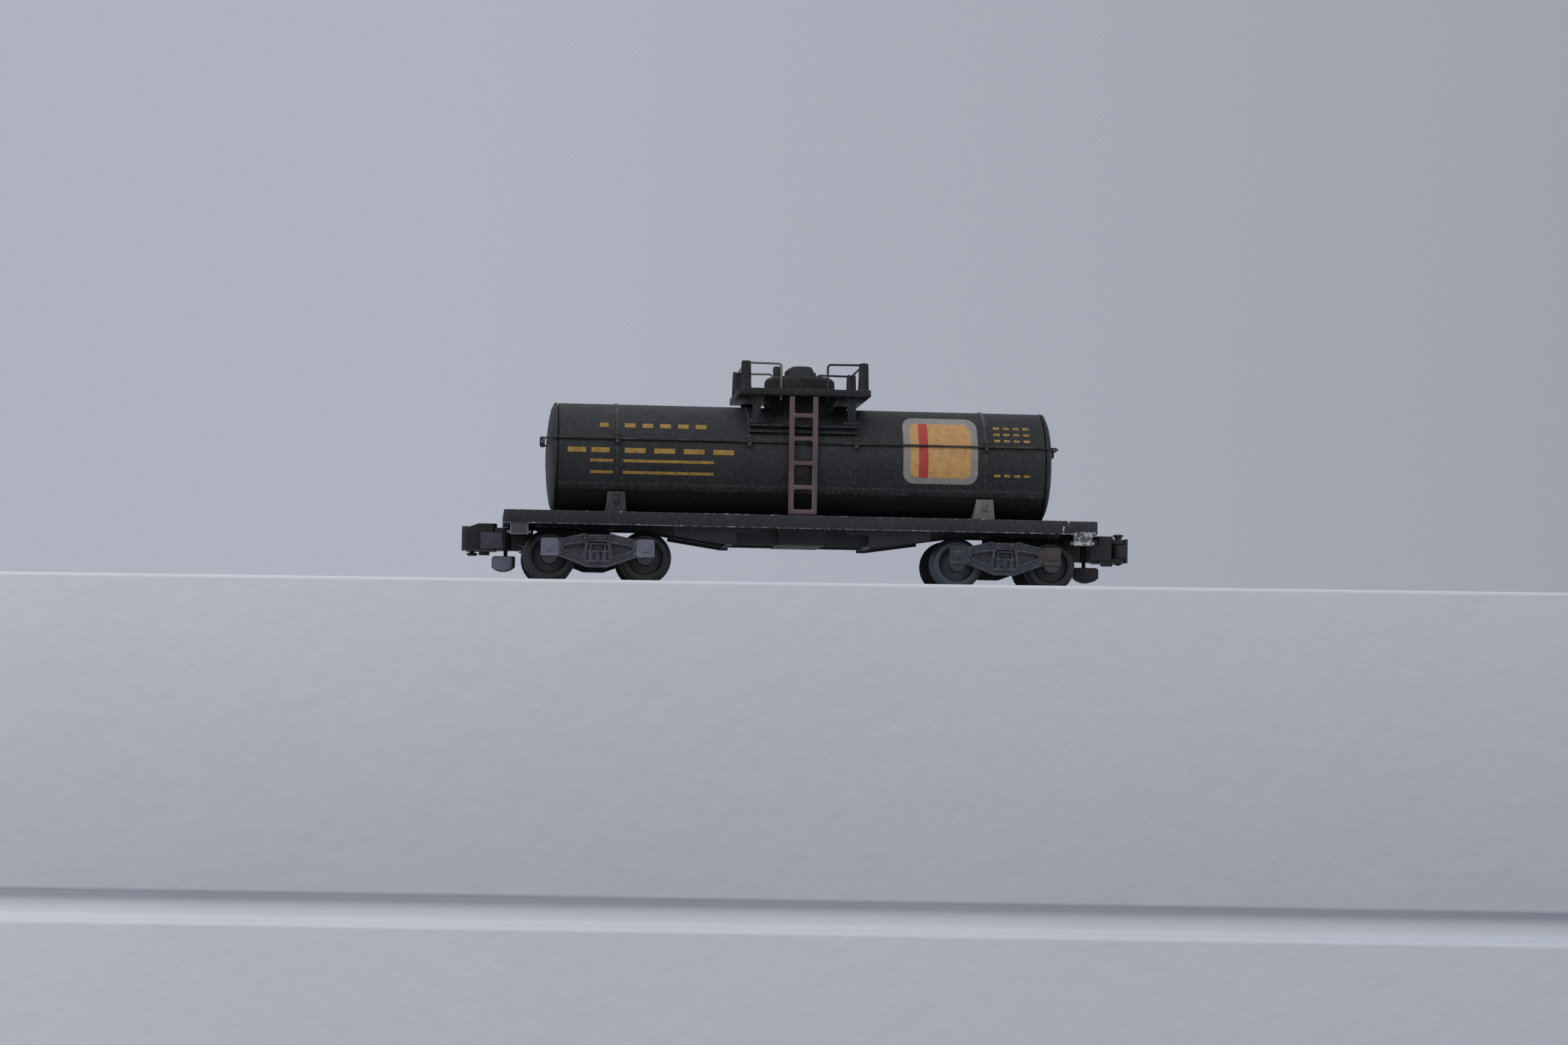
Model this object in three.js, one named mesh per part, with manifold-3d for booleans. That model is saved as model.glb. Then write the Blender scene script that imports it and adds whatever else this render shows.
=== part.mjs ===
// Model tank wagon, single dome, with swivelling trucks and knuckle couplers.
// Lengths are in millimetres. X runs along the wagon, Y across it, Z up; the flanges stand on Z = 0.
import * as THREE from 'three';
import { mergeVertices } from 'three/addons/utils/BufferGeometryUtils.js';
import Module from 'manifold-3d';

const wasm = await Module();
wasm.setup();

// ---------- driving dimensions ----------
const GAP = 0.3;

const DECK_TOP = 21.3;
const DECK_UNDERSIDE = 19.7;
const SILL_BOTTOM = 17.3;
const DECK_HALF_LENGTH = 89;
const DECK_HALF_WIDTH = 18.9;
const SILL_THICKNESS = 1.6;
const CORNER_CHAMFER = 1.4;

const TANK_RADIUS = 16.6;
const TANK_WALL = 1.4;
const TANK_AXIS_Z = 38.3;
const SHELL_HALF_LENGTH = 73.2;
const END_RIM_HALF_LENGTH = 74.6;
const END_DISH_HALF_LENGTH = 76.7;
const STRAP_X = [-55.8, 55.1];
const SEAM_X = [-16.4, 15.7];

const PLATFORM_TOP = 59.3;
const PLATFORM_BOTTOM = 57.3;
const PLATFORM_HALF_LENGTH = 19.8;
const PLATFORM_HALF_WIDTH = 17.9;
const POST_X = 17.7;
const POST_Y = 16.0;
const POST_TOP = 67.5;
const LEG_X = 14.3;
const LEG_BOTTOM = 48.9;

const DOME_RADIUS = 10.7;
const DOME_TOP = 64.4;

const HANDRAIL_Z = 43.2;
const HANDRAIL_Y = 16.45;
const HANDRAIL_RADIUS = 0.32;

const LADDER_X = -0.3;
const LADDER_HALF_WIDTH = 4.3;
const LADDER_RUNG_Z = [22.5, 29.8, 37.0, 44.3, 51.3];

const TRUCK_X = 61.1;
const AXLE_X = 14.25;
const AXLE_Z = 8;
const FLANGE_RADIUS = 8;
const TREAD_RADIUS = 7;
const WHEEL_BACK_Y = 9.9;
const WHEEL_FACE_Y = 13.7;
const SIDEFRAME_INNER_Y = 14.9;
const SIDEFRAME_OUTER_Y = 16.5;

const COUPLER_PIVOT_X = 82.5;
const KNUCKLE_PIVOT_X = 98.1;
const KNUCKLE_PIVOT_Y = -3.3;
const KNUCKLE_FRONT_X = 101.3;
const LIFT_PIN_X = 88.1;
const SHANK_BOTTOM = 10;
const SHANK_TOP = 16.6;
const COUNTERBORE_Z = 14;

// ---------- finishes ----------
const finish = (color, roughness, metalness) =>
  new THREE.MeshStandardMaterial({ color, roughness, metalness });
const CASTING = finish(0x2b2f39, 0.62, 0.25);
const TANK_BLACK = finish(0x26292c, 0.72, 0.0);
const SADDLE_GREY = finish(0x4b4d52, 0.8, 0.05);
const LADDER_PURPLE = finish(0x64555f, 0.65, 0.0);
const TRUCK_GREY = finish(0x47484f, 0.75, 0.0);
const WHEEL_BLACK = finish(0x1d1f22, 0.55, 0.1);
const COUPLER_BLACK = finish(0x26262c, 0.6, 0.05);
const WIRE_DARK = finish(0x3a3a3c, 0.5, 0.7);
const WIRE_BRASS = finish(0x9a8a70, 0.45, 0.8);
const STEEL = finish(0x6f7276, 0.4, 0.9);

// ---------- geometry helpers ----------
const group = new THREE.Group();
group.name = 'model_tank_wagon';

const weld = (geometry) => {
  const bare = new THREE.BufferGeometry();
  const source = geometry.index ? geometry.toNonIndexed() : geometry;
  bare.setAttribute('position', source.getAttribute('position').clone());
  const merged = mergeVertices(bare, 1e-4);
  const index = merged.index.array;
  const kept = [];
  for (let i = 0; i < index.length; i += 3) {
    const [a, b, c] = [index[i], index[i + 1], index[i + 2]];
    if (a !== b && b !== c && c !== a) kept.push(a, b, c);
  }
  merged.setIndex(kept);
  return merged;
};

const signedVolume = (positions, index) => {
  const [a, b, c] = [new THREE.Vector3(), new THREE.Vector3(), new THREE.Vector3()];
  let total = 0;
  for (let i = 0; i < index.length; i += 3) {
    a.fromArray(positions, index[i] * 3);
    b.fromArray(positions, index[i + 1] * 3);
    c.fromArray(positions, index[i + 2] * 3);
    total += a.dot(b.cross(c)) / 6;
  }
  return total;
};

const toManifold = (geometry) => {
  const merged = weld(geometry);
  const positions = Float32Array.from(merged.getAttribute('position').array);
  const index = Uint32Array.from(merged.index.array);
  if (signedVolume(positions, index) < 0) index.reverse();
  const mesh = new wasm.Mesh({ numProp: 3, vertProperties: positions, triVerts: index });
  return new wasm.Manifold(mesh);
};

const toGeometry = (manifold) => {
  const mesh = manifold.getMesh();
  const geometry = new THREE.BufferGeometry();
  const positions = Float32Array.from(mesh.vertProperties);
  geometry.setAttribute('position', new THREE.BufferAttribute(positions, 3));
  geometry.setIndex(Array.from(mesh.triVerts));
  return geometry;
};

const shapeOf = (points) => new THREE.Shape(points.map(([u, v]) => new THREE.Vector2(u, v)));

const flatExtrude = (points, depth) =>
  new THREE.ExtrudeGeometry(shapeOf(points), { depth, bevelEnabled: false, steps: 1 });

// A polygon in XY carried from z0 up to z1.
const prismXY = (points, z0, z1) =>
  toManifold(flatExtrude(points, z1 - z0).translate(0, 0, z0));

// A polygon in XZ carried from y0 to y1.
const prismXZ = (points, y0, y1) =>
  toManifold(flatExtrude(points, y1 - y0).rotateX(Math.PI / 2).translate(0, y1, 0));

// A polygon in YZ carried from x0 to x1.
const TURN_YZ = new THREE.Matrix4().makeBasis(
  new THREE.Vector3(0, 1, 0),
  new THREE.Vector3(0, 0, 1),
  new THREE.Vector3(1, 0, 0),
);
const prismYZ = (points, x0, x1) =>
  toManifold(flatExtrude(points, x1 - x0).applyMatrix4(TURN_YZ).translate(x0, 0, 0));

const box = (x0, x1, y0, y1, z0, z1) =>
  prismXY([[x0, y0], [x1, y0], [x1, y1], [x0, y1]], z0, z1);

const latheGeometry = (profile, segments) =>
  new THREE.LatheGeometry(profile.map(([r, h]) => new THREE.Vector2(r, h)), segments);

// Turned pieces: profile points are [radius, height along the axis].
const turnedZ = (profile, segments, x = 0, y = 0) =>
  toManifold(latheGeometry(profile, segments).rotateX(Math.PI / 2).translate(x, y, 0));
const turnedY = (profile, segments, x = 0, z = 0) =>
  toManifold(latheGeometry(profile, segments).translate(x, 0, z));
const turnedX = (profile, segments, y = 0, z = 0) =>
  toManifold(latheGeometry(profile, segments).rotateZ(-Math.PI / 2).translate(0, y, z));

const rod = (r, h0, h1) => [[0, h0], [r, h0], [r, h1], [0, h1]];
const union = (parts) => parts.reduce((sum, part) => sum.add(part));

const mirrorPoints = (points) => points.map(([u, v]) => [-u, v]).reverse();
const circlePoints = (cx, cy, r, from, to, steps) =>
  Array.from({ length: steps + 1 }, (_, i) => {
    const angle = from + ((to - from) * i) / steps;
    return [cx + r * Math.cos(angle), cy + r * Math.sin(angle)];
  });

// A wire of round section along straight runs joined by short bends.
const bentWire = (corners, bendRadius, wireRadius, sides) => {
  const path = new THREE.CurvePath();
  const points = corners.map((corner) => new THREE.Vector3(...corner));
  let start = points[0];
  for (let i = 1; i < points.length - 1; i += 1) {
    const before = points[i - 1].clone().sub(points[i]).setLength(bendRadius).add(points[i]);
    const after = points[i + 1].clone().sub(points[i]).setLength(bendRadius).add(points[i]);
    path.add(new THREE.LineCurve3(start, before));
    path.add(new THREE.QuadraticBezierCurve3(before, points[i], after));
    start = after;
  }
  path.add(new THREE.LineCurve3(start, points[points.length - 1]));
  const samples = [];
  path.curves.forEach((curve, i) => {
    const steps = curve instanceof THREE.LineCurve3 ? 1 : 3;
    for (let k = i === 0 ? 0 : 1; k <= steps; k += 1) samples.push(curve.getPoint(k / steps));
  });
  return sweep(samples, wireRadius, sides);
};

// Rings of vertices carried along a list of points with a steady twist-free frame, closed by end caps.
const sweep = (samples, radius, sides) => {
  const positions = [];
  const index = [];
  const tangentAt = (i) => {
    const a = samples[Math.max(i - 1, 0)];
    const b = samples[Math.min(i + 1, samples.length - 1)];
    return b.clone().sub(a).normalize();
  };
  const firstTangent = tangentAt(0);
  const helper = Math.abs(firstTangent.z) < 0.9 ? new THREE.Vector3(0, 0, 1) : new THREE.Vector3(0, 1, 0);
  let normal = helper.clone().cross(firstTangent).normalize();
  samples.forEach((point, i) => {
    const tangent = tangentAt(i);
    normal = normal.clone().sub(tangent.clone().multiplyScalar(normal.dot(tangent))).normalize();
    const binormal = tangent.clone().cross(normal);
    for (let k = 0; k < sides; k += 1) {
      const angle = (2 * Math.PI * k) / sides;
      const offset = normal.clone().multiplyScalar(Math.cos(angle) * radius);
      offset.add(binormal.clone().multiplyScalar(Math.sin(angle) * radius));
      positions.push(...point.clone().add(offset).toArray());
    }
  });
  for (let i = 0; i < samples.length - 1; i += 1) {
    for (let k = 0; k < sides; k += 1) {
      const a = i * sides + k;
      const b = i * sides + ((k + 1) % sides);
      index.push(a, b, b + sides, a, b + sides, a + sides);
    }
  }
  const last = (samples.length - 1) * sides;
  for (let k = 1; k < sides - 1; k += 1) {
    index.push(0, k + 1, k);
    index.push(last, last + k, last + k + 1);
  }
  const geometry = new THREE.BufferGeometry();
  geometry.setAttribute('position', new THREE.Float32BufferAttribute(positions, 3));
  geometry.setIndex(index);
  return toManifold(geometry);
};

const addNode = (name, manifold, material) => {
  const mesh = new THREE.Mesh(toGeometry(manifold), material);
  mesh.name = name;
  group.add(mesh);
};

// ---------- frame casting ----------
const deckOutline = (halfLength, halfWidth, chamfer) => [
  [-halfLength + chamfer, -halfWidth],
  [halfLength - chamfer, -halfWidth],
  [halfLength, -halfWidth + chamfer],
  [halfLength, halfWidth - chamfer],
  [halfLength - chamfer, halfWidth],
  [-halfLength + chamfer, halfWidth],
  [-halfLength, halfWidth - chamfer],
  [-halfLength, -halfWidth + chamfer],
];

const SIDE_WEB_OUTER_Y = 16.4;
const SIDE_WEB_INNER_Y = 15.2;
const BELLY_HALF_FLAT = 22.3;
const CENTRE_WEB_Y = 9;
const CENTRE_WEB_HALF_LENGTH = 79;
const CENTRE_WEB_THICKNESS = 1.4;
const TANK_SCREW_X = 33;

const cornerStep = (sideX, sideY) => {
  const xs = (a, b) => (sideX > 0 ? [a, b] : [-b, -a]);
  const ys = (a, b) => (sideY > 0 ? [a, b] : [-b, -a]);
  return union([
    box(...xs(81.8, 87.1), ...ys(17.5, DECK_HALF_WIDTH), 14.0, SILL_BOTTOM + 0.2),
    box(...xs(80.9, 88.0), ...ys(15.4, 17.7), 14.4, 15.1),
    box(...xs(81.8, 87.1), ...ys(15.4, 16.2), 14.8, DECK_UNDERSIDE + 0.2),
  ]);
};

const buildFrame = () => {
  const roof = DECK_UNDERSIDE + 0.2;
  let frame = prismXY(deckOutline(DECK_HALF_LENGTH, DECK_HALF_WIDTH, CORNER_CHAMFER), SILL_BOTTOM, DECK_TOP);
  const innerLength = DECK_HALF_LENGTH - SILL_THICKNESS;
  const innerWidth = DECK_HALF_WIDTH - SILL_THICKNESS;
  frame = frame.subtract(box(-innerLength, innerLength, -innerWidth, innerWidth, SILL_BOTTOM - 1, DECK_UNDERSIDE));

  const webOutline = [
    [-38.5, roof],
    [-38.5, 14.7],
    [-BELLY_HALF_FLAT, 12.3],
    [-19.9, 12.3],
    [-19.9, 16.0],
    [-13, 16.0],
    [-13, roof],
  ];
  const centreOutline = [
    [-CENTRE_WEB_HALF_LENGTH, roof],
    [-CENTRE_WEB_HALF_LENGTH, 16.6],
    [-47.4, 16.6],
    [-44, 16.1],
    [-38.5, 15.3],
    [-21.5, 12.8],
    [21.5, 12.8],
    [38.5, 15.3],
    [44, 16.1],
    [47.4, 16.6],
    [CENTRE_WEB_HALF_LENGTH, 16.6],
    [CENTRE_WEB_HALF_LENGTH, roof],
  ];
  const pieces = [];
  for (const side of [-1, 1]) {
    const [webLow, webHigh] = side < 0
      ? [-SIDE_WEB_OUTER_Y, -SIDE_WEB_INNER_Y]
      : [SIDE_WEB_INNER_Y, SIDE_WEB_OUTER_Y];
    pieces.push(prismXZ(webOutline, webLow, webHigh));
    pieces.push(prismXZ(mirrorPoints(webOutline), webLow, webHigh));
    const [centreLow, centreHigh] = side < 0
      ? [-CENTRE_WEB_Y, -CENTRE_WEB_Y + CENTRE_WEB_THICKNESS]
      : [CENTRE_WEB_Y - CENTRE_WEB_THICKNESS, CENTRE_WEB_Y];
    pieces.push(prismXZ(centreOutline, centreLow, centreHigh));
    pieces.push(box(side * 21.1 - 1.2, side * 21.1 + 1.2, -SIDE_WEB_OUTER_Y, SIDE_WEB_OUTER_Y, 12.9, roof));
    pieces.push(box(side * 72 - 0.6, side * 72 + 0.6, -innerWidth - 0.2, innerWidth + 0.2, 18.2, roof));
    pieces.push(turnedZ(rod(5.5, 16.9, roof), 20, side * TRUCK_X, 0));
    pieces.push(cornerStep(-1, side), cornerStep(1, side));
  }
  pieces.push(box(-7, 7, -12.5, 12.5, 12.8, roof));
  frame = union([frame, ...pieces]);

  const cuts = [];
  for (const side of [-1, 1]) {
    cuts.push(turnedZ(rod(1.5, 16, 20.2), 16, side * TRUCK_X, 0));
    cuts.push(turnedZ(rod(1.3, 15, 22), 12, side * TANK_SCREW_X, 0));
  }
  for (const x of STRAP_X) cuts.push(box(x - 2.4, x + 2.4, -15.2, 15.2, 20.6, 22));
  return frame.subtract(union(cuts));
};

addNode('frame_casting', buildFrame(), CASTING);

// ---------- tank ----------
const ring = (x, halfWidth, height, inset) => turnedX([
  [TANK_RADIUS - inset, x - halfWidth],
  [TANK_RADIUS, x - halfWidth],
  [TANK_RADIUS + height, x - halfWidth * 0.45],
  [TANK_RADIUS + height, x + halfWidth * 0.45],
  [TANK_RADIUS, x + halfWidth],
  [TANK_RADIUS - inset, x + halfWidth],
  [TANK_RADIUS - inset, x - halfWidth],
], 48, 0, TANK_AXIS_Z);

const lapStrip = (side) => {
  const angles = [-0.69, -0.6, -0.51];
  const arc = (radius) => angles.map((a) => [side * radius * Math.cos(a), TANK_AXIS_Z + radius * Math.sin(a)]);
  const outline = [...arc(TANK_RADIUS + 0.25), ...arc(TANK_RADIUS - 0.6).reverse()];
  return prismYZ(side > 0 ? outline : outline.reverse(), -SHELL_HALF_LENGTH, SHELL_HALF_LENGTH);
};

const buildShell = () => {
  const inner = TANK_RADIUS - TANK_WALL;
  const tube = turnedX([
    [inner, -SHELL_HALF_LENGTH],
    [TANK_RADIUS, -SHELL_HALF_LENGTH],
    [TANK_RADIUS, SHELL_HALF_LENGTH],
    [inner, SHELL_HALF_LENGTH],
    [inner, -SHELL_HALF_LENGTH],
  ], 48, 0, TANK_AXIS_Z);
  const straps = union([
    ...STRAP_X.map((x) => ring(x, 0.75, 0.6, 0.5)),
    ...SEAM_X.map((x) => ring(x, 0.45, 0.22, 0.5)),
  ]).subtract(box(-80, 80, -20, 20, 10, 27.9)).subtract(box(-80, 80, -20, 20, 41.1, 45.3));
  let shell = union([tube, straps, lapStrip(-1), lapStrip(1)]);
  for (const side of [-1, 1]) {
    shell = shell.subtract(turnedZ(rod(1.3, 20, 26), 12, side * TANK_SCREW_X, 0));
  }
  return shell;
};

addNode('tank_shell', buildShell(), TANK_BLACK);

// A dished end with a rim and a spigot that sits inside the shell.
const buildTankEnd = (side) => {
  const rimStart = SHELL_HALF_LENGTH + GAP;
  const spigot = TANK_RADIUS - TANK_WALL - GAP;
  const profile = [
    [0, rimStart + 1.2],
    [spigot - 1.2, rimStart - 1.8],
    [spigot, rimStart - 1.8],
    [spigot, rimStart],
    [TANK_RADIUS + 0.1, rimStart],
    [TANK_RADIUS + 0.1, END_RIM_HALF_LENGTH - 0.3],
    [14.6, END_RIM_HALF_LENGTH + 0.75],
    [9.5, END_RIM_HALF_LENGTH + 1.65],
    [0, END_DISH_HALF_LENGTH],
  ];
  return turnedX(profile.map(([r, x]) => [r, side * x]), 48, 0, TANK_AXIS_Z);
};

addNode('tank_end_left', buildTankEnd(-1), TANK_BLACK);
addNode('tank_end_right', buildTankEnd(1), TANK_BLACK);

// A cradle of two tapered cheeks joined by a thin web in the deck's groove.
const buildSaddle = (x) => {
  const cheeks = prismXZ([[x - 3.1, 21.6], [x + 3.1, 21.6], [x + 2.5, 27.5], [x - 2.5, 27.5]], -14.4, 14.4);
  const web = box(x - 2.1, x + 2.1, -14.4, 14.4, 20.9, 21.35);
  const posts = [-1, 1].map((side) => box(x - 2.1, x + 2.1, side * 12.4 - 1.6, side * 12.4 + 1.6, 21.0, 22.4));
  const bore = turnedX(rod(TANK_RADIUS + 0.35 + GAP, x - 5, x + 5), 40, 0, TANK_AXIS_Z);
  const bars = [-1, 1].map((side) => box(x - 0.7, x + 0.7, side * 14.6 - 0.4, side * 14.6 + 0.4, 24.2, 27.4));
  return union([cheeks.subtract(bore), web, ...posts, ...bars]);
};

addNode('tank_saddle_left', buildSaddle(STRAP_X[0]), SADDLE_GREY);
addNode('tank_saddle_right', buildSaddle(STRAP_X[1]), SADDLE_GREY);

const buildTankScrew = (x) => turnedZ([
  [0, 18.1],
  [2.0, 18.1],
  [2.4, 18.5],
  [2.4, DECK_UNDERSIDE - GAP],
  [1.0, DECK_UNDERSIDE - GAP],
  [1.0, 24.2],
  [0, 25.2],
], 12, x, 0);

addNode('tank_screw_left', buildTankScrew(-TANK_SCREW_X), STEEL);
addNode('tank_screw_right', buildTankScrew(TANK_SCREW_X), STEEL);

// ---------- dome ----------
const LID_NECK_RADIUS = 3.6;
const VALVE_X = -6.8;
const LID_X = 0.5;

const buildDome = () => {
  const outer = turnedZ([
    [0, 48],
    [DOME_RADIUS, 48],
    [DOME_RADIUS, DOME_TOP - 1.9],
    [DOME_RADIUS - 0.45, DOME_TOP - 0.85],
    [DOME_RADIUS - 1.7, DOME_TOP - 0.2],
    [0, DOME_TOP],
  ], 40);
  const hollow = turnedZ([[0, 47], [DOME_RADIUS - 1.3, 47], [DOME_RADIUS - 1.3, DOME_TOP - 2.4], [0, DOME_TOP - 1.6]], 32);
  const seat = turnedX(rod(TANK_RADIUS + GAP, -20, 20), 48, 0, TANK_AXIS_Z);
  const neck = turnedZ(rod(LID_NECK_RADIUS, DOME_TOP - 0.8, DOME_TOP + 0.6), 20, LID_X, 0);
  const valveHole = turnedZ(rod(0.95, 60, 66), 10, VALVE_X, 0);
  return outer.add(neck).subtract(hollow).subtract(seat).subtract(valveHole);
};

addNode('dome', buildDome(), TANK_BLACK);

const buildLid = () => {
  const base = DOME_TOP + 0.25;
  const cap = turnedZ([
    [0, base + 0.65],
    [LID_NECK_RADIUS + 0.3, base + 0.65],
    [LID_NECK_RADIUS + 0.3, base],
    [4.65, base],
    [4.5, base + 0.7],
    [3.2, 67.6],
    [0, 67.8],
  ], 24, LID_X, 0);
  const hinge = union([
    box(LID_X - 5.0, LID_X - 3.1, -1.5, 1.5, base, 66.2),
    box(LID_X - 4.0, LID_X - 2.6, -1.0, 1.0, base + 0.5, 67.2),
  ]);
  const recess = turnedZ(rod(LID_NECK_RADIUS + 0.3, base - 1, base + 0.65), 20, LID_X, 0);
  return cap.add(hinge).subtract(recess);
};

addNode('dome_lid', buildLid(), TANK_BLACK);

addNode('safety_valve', turnedZ([
  [0, DOME_TOP - 1.4],
  [0.6, DOME_TOP - 1.4],
  [0.6, DOME_TOP + 0.2],
  [1.35, DOME_TOP + 0.2],
  [1.35, 66.9],
  [0.95, 67.6],
  [0, 67.8],
], 14, VALVE_X, 0), TANK_BLACK);

// ---------- platform, rails and ladders ----------
const RAIL_Z = 67.0;
const RAIL_INNER_X = 7.0;
const RAIL_INNER_Y = 15.0;
const RAIL_RADIUS = 0.34;

const railCorners = (side) => [
  [side * RAIL_INNER_X, -RAIL_INNER_Y, PLATFORM_BOTTOM - 1.4],
  [side * RAIL_INNER_X, -RAIL_INNER_Y, RAIL_Z],
  [side * POST_X, -POST_Y, RAIL_Z],
  [side * POST_X, POST_Y, RAIL_Z],
  [side * RAIL_INNER_X, RAIL_INNER_Y, RAIL_Z],
  [side * RAIL_INNER_X, RAIL_INNER_Y, PLATFORM_BOTTOM - 1.4],
];

const buildPost = (sideX, sideY) => {
  const post = turnedZ([
    [0, PLATFORM_TOP - 0.2],
    [1.65, PLATFORM_TOP - 0.2],
    [1.4, POST_TOP],
    [0, POST_TOP],
  ], 10, sideX * POST_X, sideY * POST_Y);
  const along = (a, b, centre, side) => (side > 0 ? [centre - b, centre + a] : [centre - a, centre + b]);
  const slotFloor = RAIL_Z - 0.65;
  const alongX = along(0.75, 3, sideX * POST_X, sideX);
  const alongY = along(0.75, 3, sideY * POST_Y, sideY);
  return post
    .subtract(box(...alongX, sideY * POST_Y - 0.72, sideY * POST_Y + 0.72, slotFloor, POST_TOP + 1))
    .subtract(box(sideX * POST_X - 0.72, sideX * POST_X + 0.72, ...alongY, slotFloor, POST_TOP + 1));
};

const buildLeg = (sideX, sideY) => {
  const x = sideX * LEG_X;
  const flare = [
    [x - 2.3, PLATFORM_BOTTOM + 0.2],
    [x - 2.3, PLATFORM_BOTTOM - 0.5],
    [x - 1.5, PLATFORM_BOTTOM - 1.4],
    [x - 1.2, PLATFORM_BOTTOM - 2.6],
    [x - 1.2, LEG_BOTTOM],
    [x + 1.2, LEG_BOTTOM],
    [x + 1.2, PLATFORM_BOTTOM - 2.6],
    [x + 1.5, PLATFORM_BOTTOM - 1.4],
    [x + 2.3, PLATFORM_BOTTOM - 0.5],
    [x + 2.3, PLATFORM_BOTTOM + 0.2],
  ];
  const y = sideY * 15.5;
  const foot = box(x - 2.3, x + 2.3, y - 0.8, y + 0.8, LEG_BOTTOM, LEG_BOTTOM + 0.5);
  const bolts = [-1, 1].map((s) => turnedZ(rod(0.5, LEG_BOTTOM + 0.2, LEG_BOTTOM + 1.1), 6, x + s * 1.75, y));
  return union([prismXZ(flare, y - 0.6, y + 0.6), foot, ...bolts]);
};

const buildPlatform = () => {
  const plate = box(
    -PLATFORM_HALF_LENGTH,
    PLATFORM_HALF_LENGTH,
    -PLATFORM_HALF_WIDTH,
    PLATFORM_HALF_WIDTH,
    PLATFORM_BOTTOM,
    PLATFORM_TOP,
  );
  const parts = [plate];
  const holes = [turnedZ(rod(DOME_RADIUS + GAP, 50, 70), 40)];
  for (const sideX of [-1, 1]) {
    for (const sideY of [-1, 1]) {
      parts.push(buildPost(sideX, sideY), buildLeg(sideX, sideY));
      holes.push(turnedZ(rod(0.65, 50, 62), 8, sideX * RAIL_INNER_X, sideY * RAIL_INNER_Y));
    }
  }
  return union(parts).subtract(union(holes));
};

addNode('platform', buildPlatform(), TANK_BLACK);
addNode('platform_rail_left', bentWire(railCorners(-1), 1.1, RAIL_RADIUS, 6), WIRE_BRASS);
addNode('platform_rail_right', bentWire(railCorners(1), 1.1, RAIL_RADIUS, 6), WIRE_DARK);

// An angle bar along the tank's shoulder: a flat ledge with a web that hugs the shell.
const buildAngleBar = (side) => {
  const outline = [
    [13.45, 48.6],
    [16.4, 48.6],
    [16.4, 47.9],
    [14.75, 47.8],
    [15.9, 46.2],
    [15.05, 46.1],
  ].map(([y, z]) => [side * y, z]);
  return prismYZ(side > 0 ? outline.reverse() : outline, -16.6, 16.6);
};

addNode('angle_bar_near', buildAngleBar(-1), TANK_BLACK);
addNode('angle_bar_far', buildAngleBar(1), TANK_BLACK);

const buildLadder = (side) => {
  const [y0, y1] = side < 0 ? [-17.75, -17.0] : [17.0, 17.75];
  const top = PLATFORM_BOTTOM - GAP;
  const foot = DECK_TOP + GAP;
  const rails = [-1, 1].map((s) => {
    const centre = LADDER_X + s * (LADDER_HALF_WIDTH - 0.78);
    return box(centre - 0.78, centre + 0.78, y0, y1, foot, top);
  });
  const rungs = LADDER_RUNG_Z.map((z) =>
    box(LADDER_X - 3, LADDER_X + 3, y0, y1, Math.max(z - 0.62, foot), z + 0.62));
  return union([...rails, ...rungs]);
};

addNode('ladder_near', buildLadder(-1), LADDER_PURPLE);
addNode('ladder_far', buildLadder(1), LADDER_PURPLE);

// ---------- tank handrail ----------
const HANDRAIL_END_X = 77.6;
const HANDRAIL_BEND_X = 75.9;
const handrailCorners = [
  [-0.2, HANDRAIL_Y, HANDRAIL_Z],
  [-HANDRAIL_BEND_X, HANDRAIL_Y, HANDRAIL_Z],
  [-HANDRAIL_END_X, 12.5, HANDRAIL_Z],
  [-HANDRAIL_END_X, -12.5, HANDRAIL_Z],
  [-HANDRAIL_BEND_X, -HANDRAIL_Y, HANDRAIL_Z],
  [HANDRAIL_BEND_X, -HANDRAIL_Y, HANDRAIL_Z],
  [HANDRAIL_END_X, -12.5, HANDRAIL_Z],
  [HANDRAIL_END_X, 12.5, HANDRAIL_Z],
  [HANDRAIL_BEND_X, HANDRAIL_Y, HANDRAIL_Z],
  [0.2, HANDRAIL_Y, HANDRAIL_Z],
];
addNode('tank_handrail', bentWire(handrailCorners, 2, HANDRAIL_RADIUS, 6), WIRE_DARK);

// A stanchion: a small plate on the shell with a knob above and below the wire and a loop over it.
const buildStanchion = (x, side) => {
  const block = prismYZ([
    [15.5, 45.0],
    [16.16, 43.2],
    [16.62, 41.4],
    [17.05, 41.4],
    [17.4, 42.3],
    [17.3, 44.0],
    [16.6, 45.0],
  ].map(([y, z]) => [side * y, z]), x - 0.55, x + 0.55);
  const knobs = [44.4, 42.0].map((z) =>
    turnedY(rod(0.55, side > 0 ? 16.6 : -17.8, side > 0 ? 17.8 : -16.6), 8, x, z));
  const wireHole = turnedX(rod(HANDRAIL_RADIUS + GAP, x - 2, x + 2), 8, side * HANDRAIL_Y, HANDRAIL_Z);
  return union([block, ...knobs]).subtract(wireHole);
};

for (const [sideName, side] of [['near', -1], ['far', 1]]) {
  [STRAP_X[0], ...SEAM_X, STRAP_X[1]].forEach((x, i) => {
    addNode(`stanchion_${sideName}_${i + 1}`, buildStanchion(x, side), TANK_BLACK);
  });
}

// An eyelet at the middle of each tank end that carries the wire.
const buildEyelet = (side) => {
  const xs = (a, b) => (side > 0 ? [a, b] : [-b, -a]);
  const block = box(...xs(76.95, 78.5), -0.9, 0.9, 41.5, 44.7);
  const hole = turnedY(rod(HANDRAIL_RADIUS + GAP, -3, 3), 8, side * HANDRAIL_END_X, HANDRAIL_Z);
  return block.subtract(hole);
};

addNode('handrail_eyelet_left', buildEyelet(-1), TANK_BLACK);
addNode('handrail_eyelet_right', buildEyelet(1), TANK_BLACK);

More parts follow.
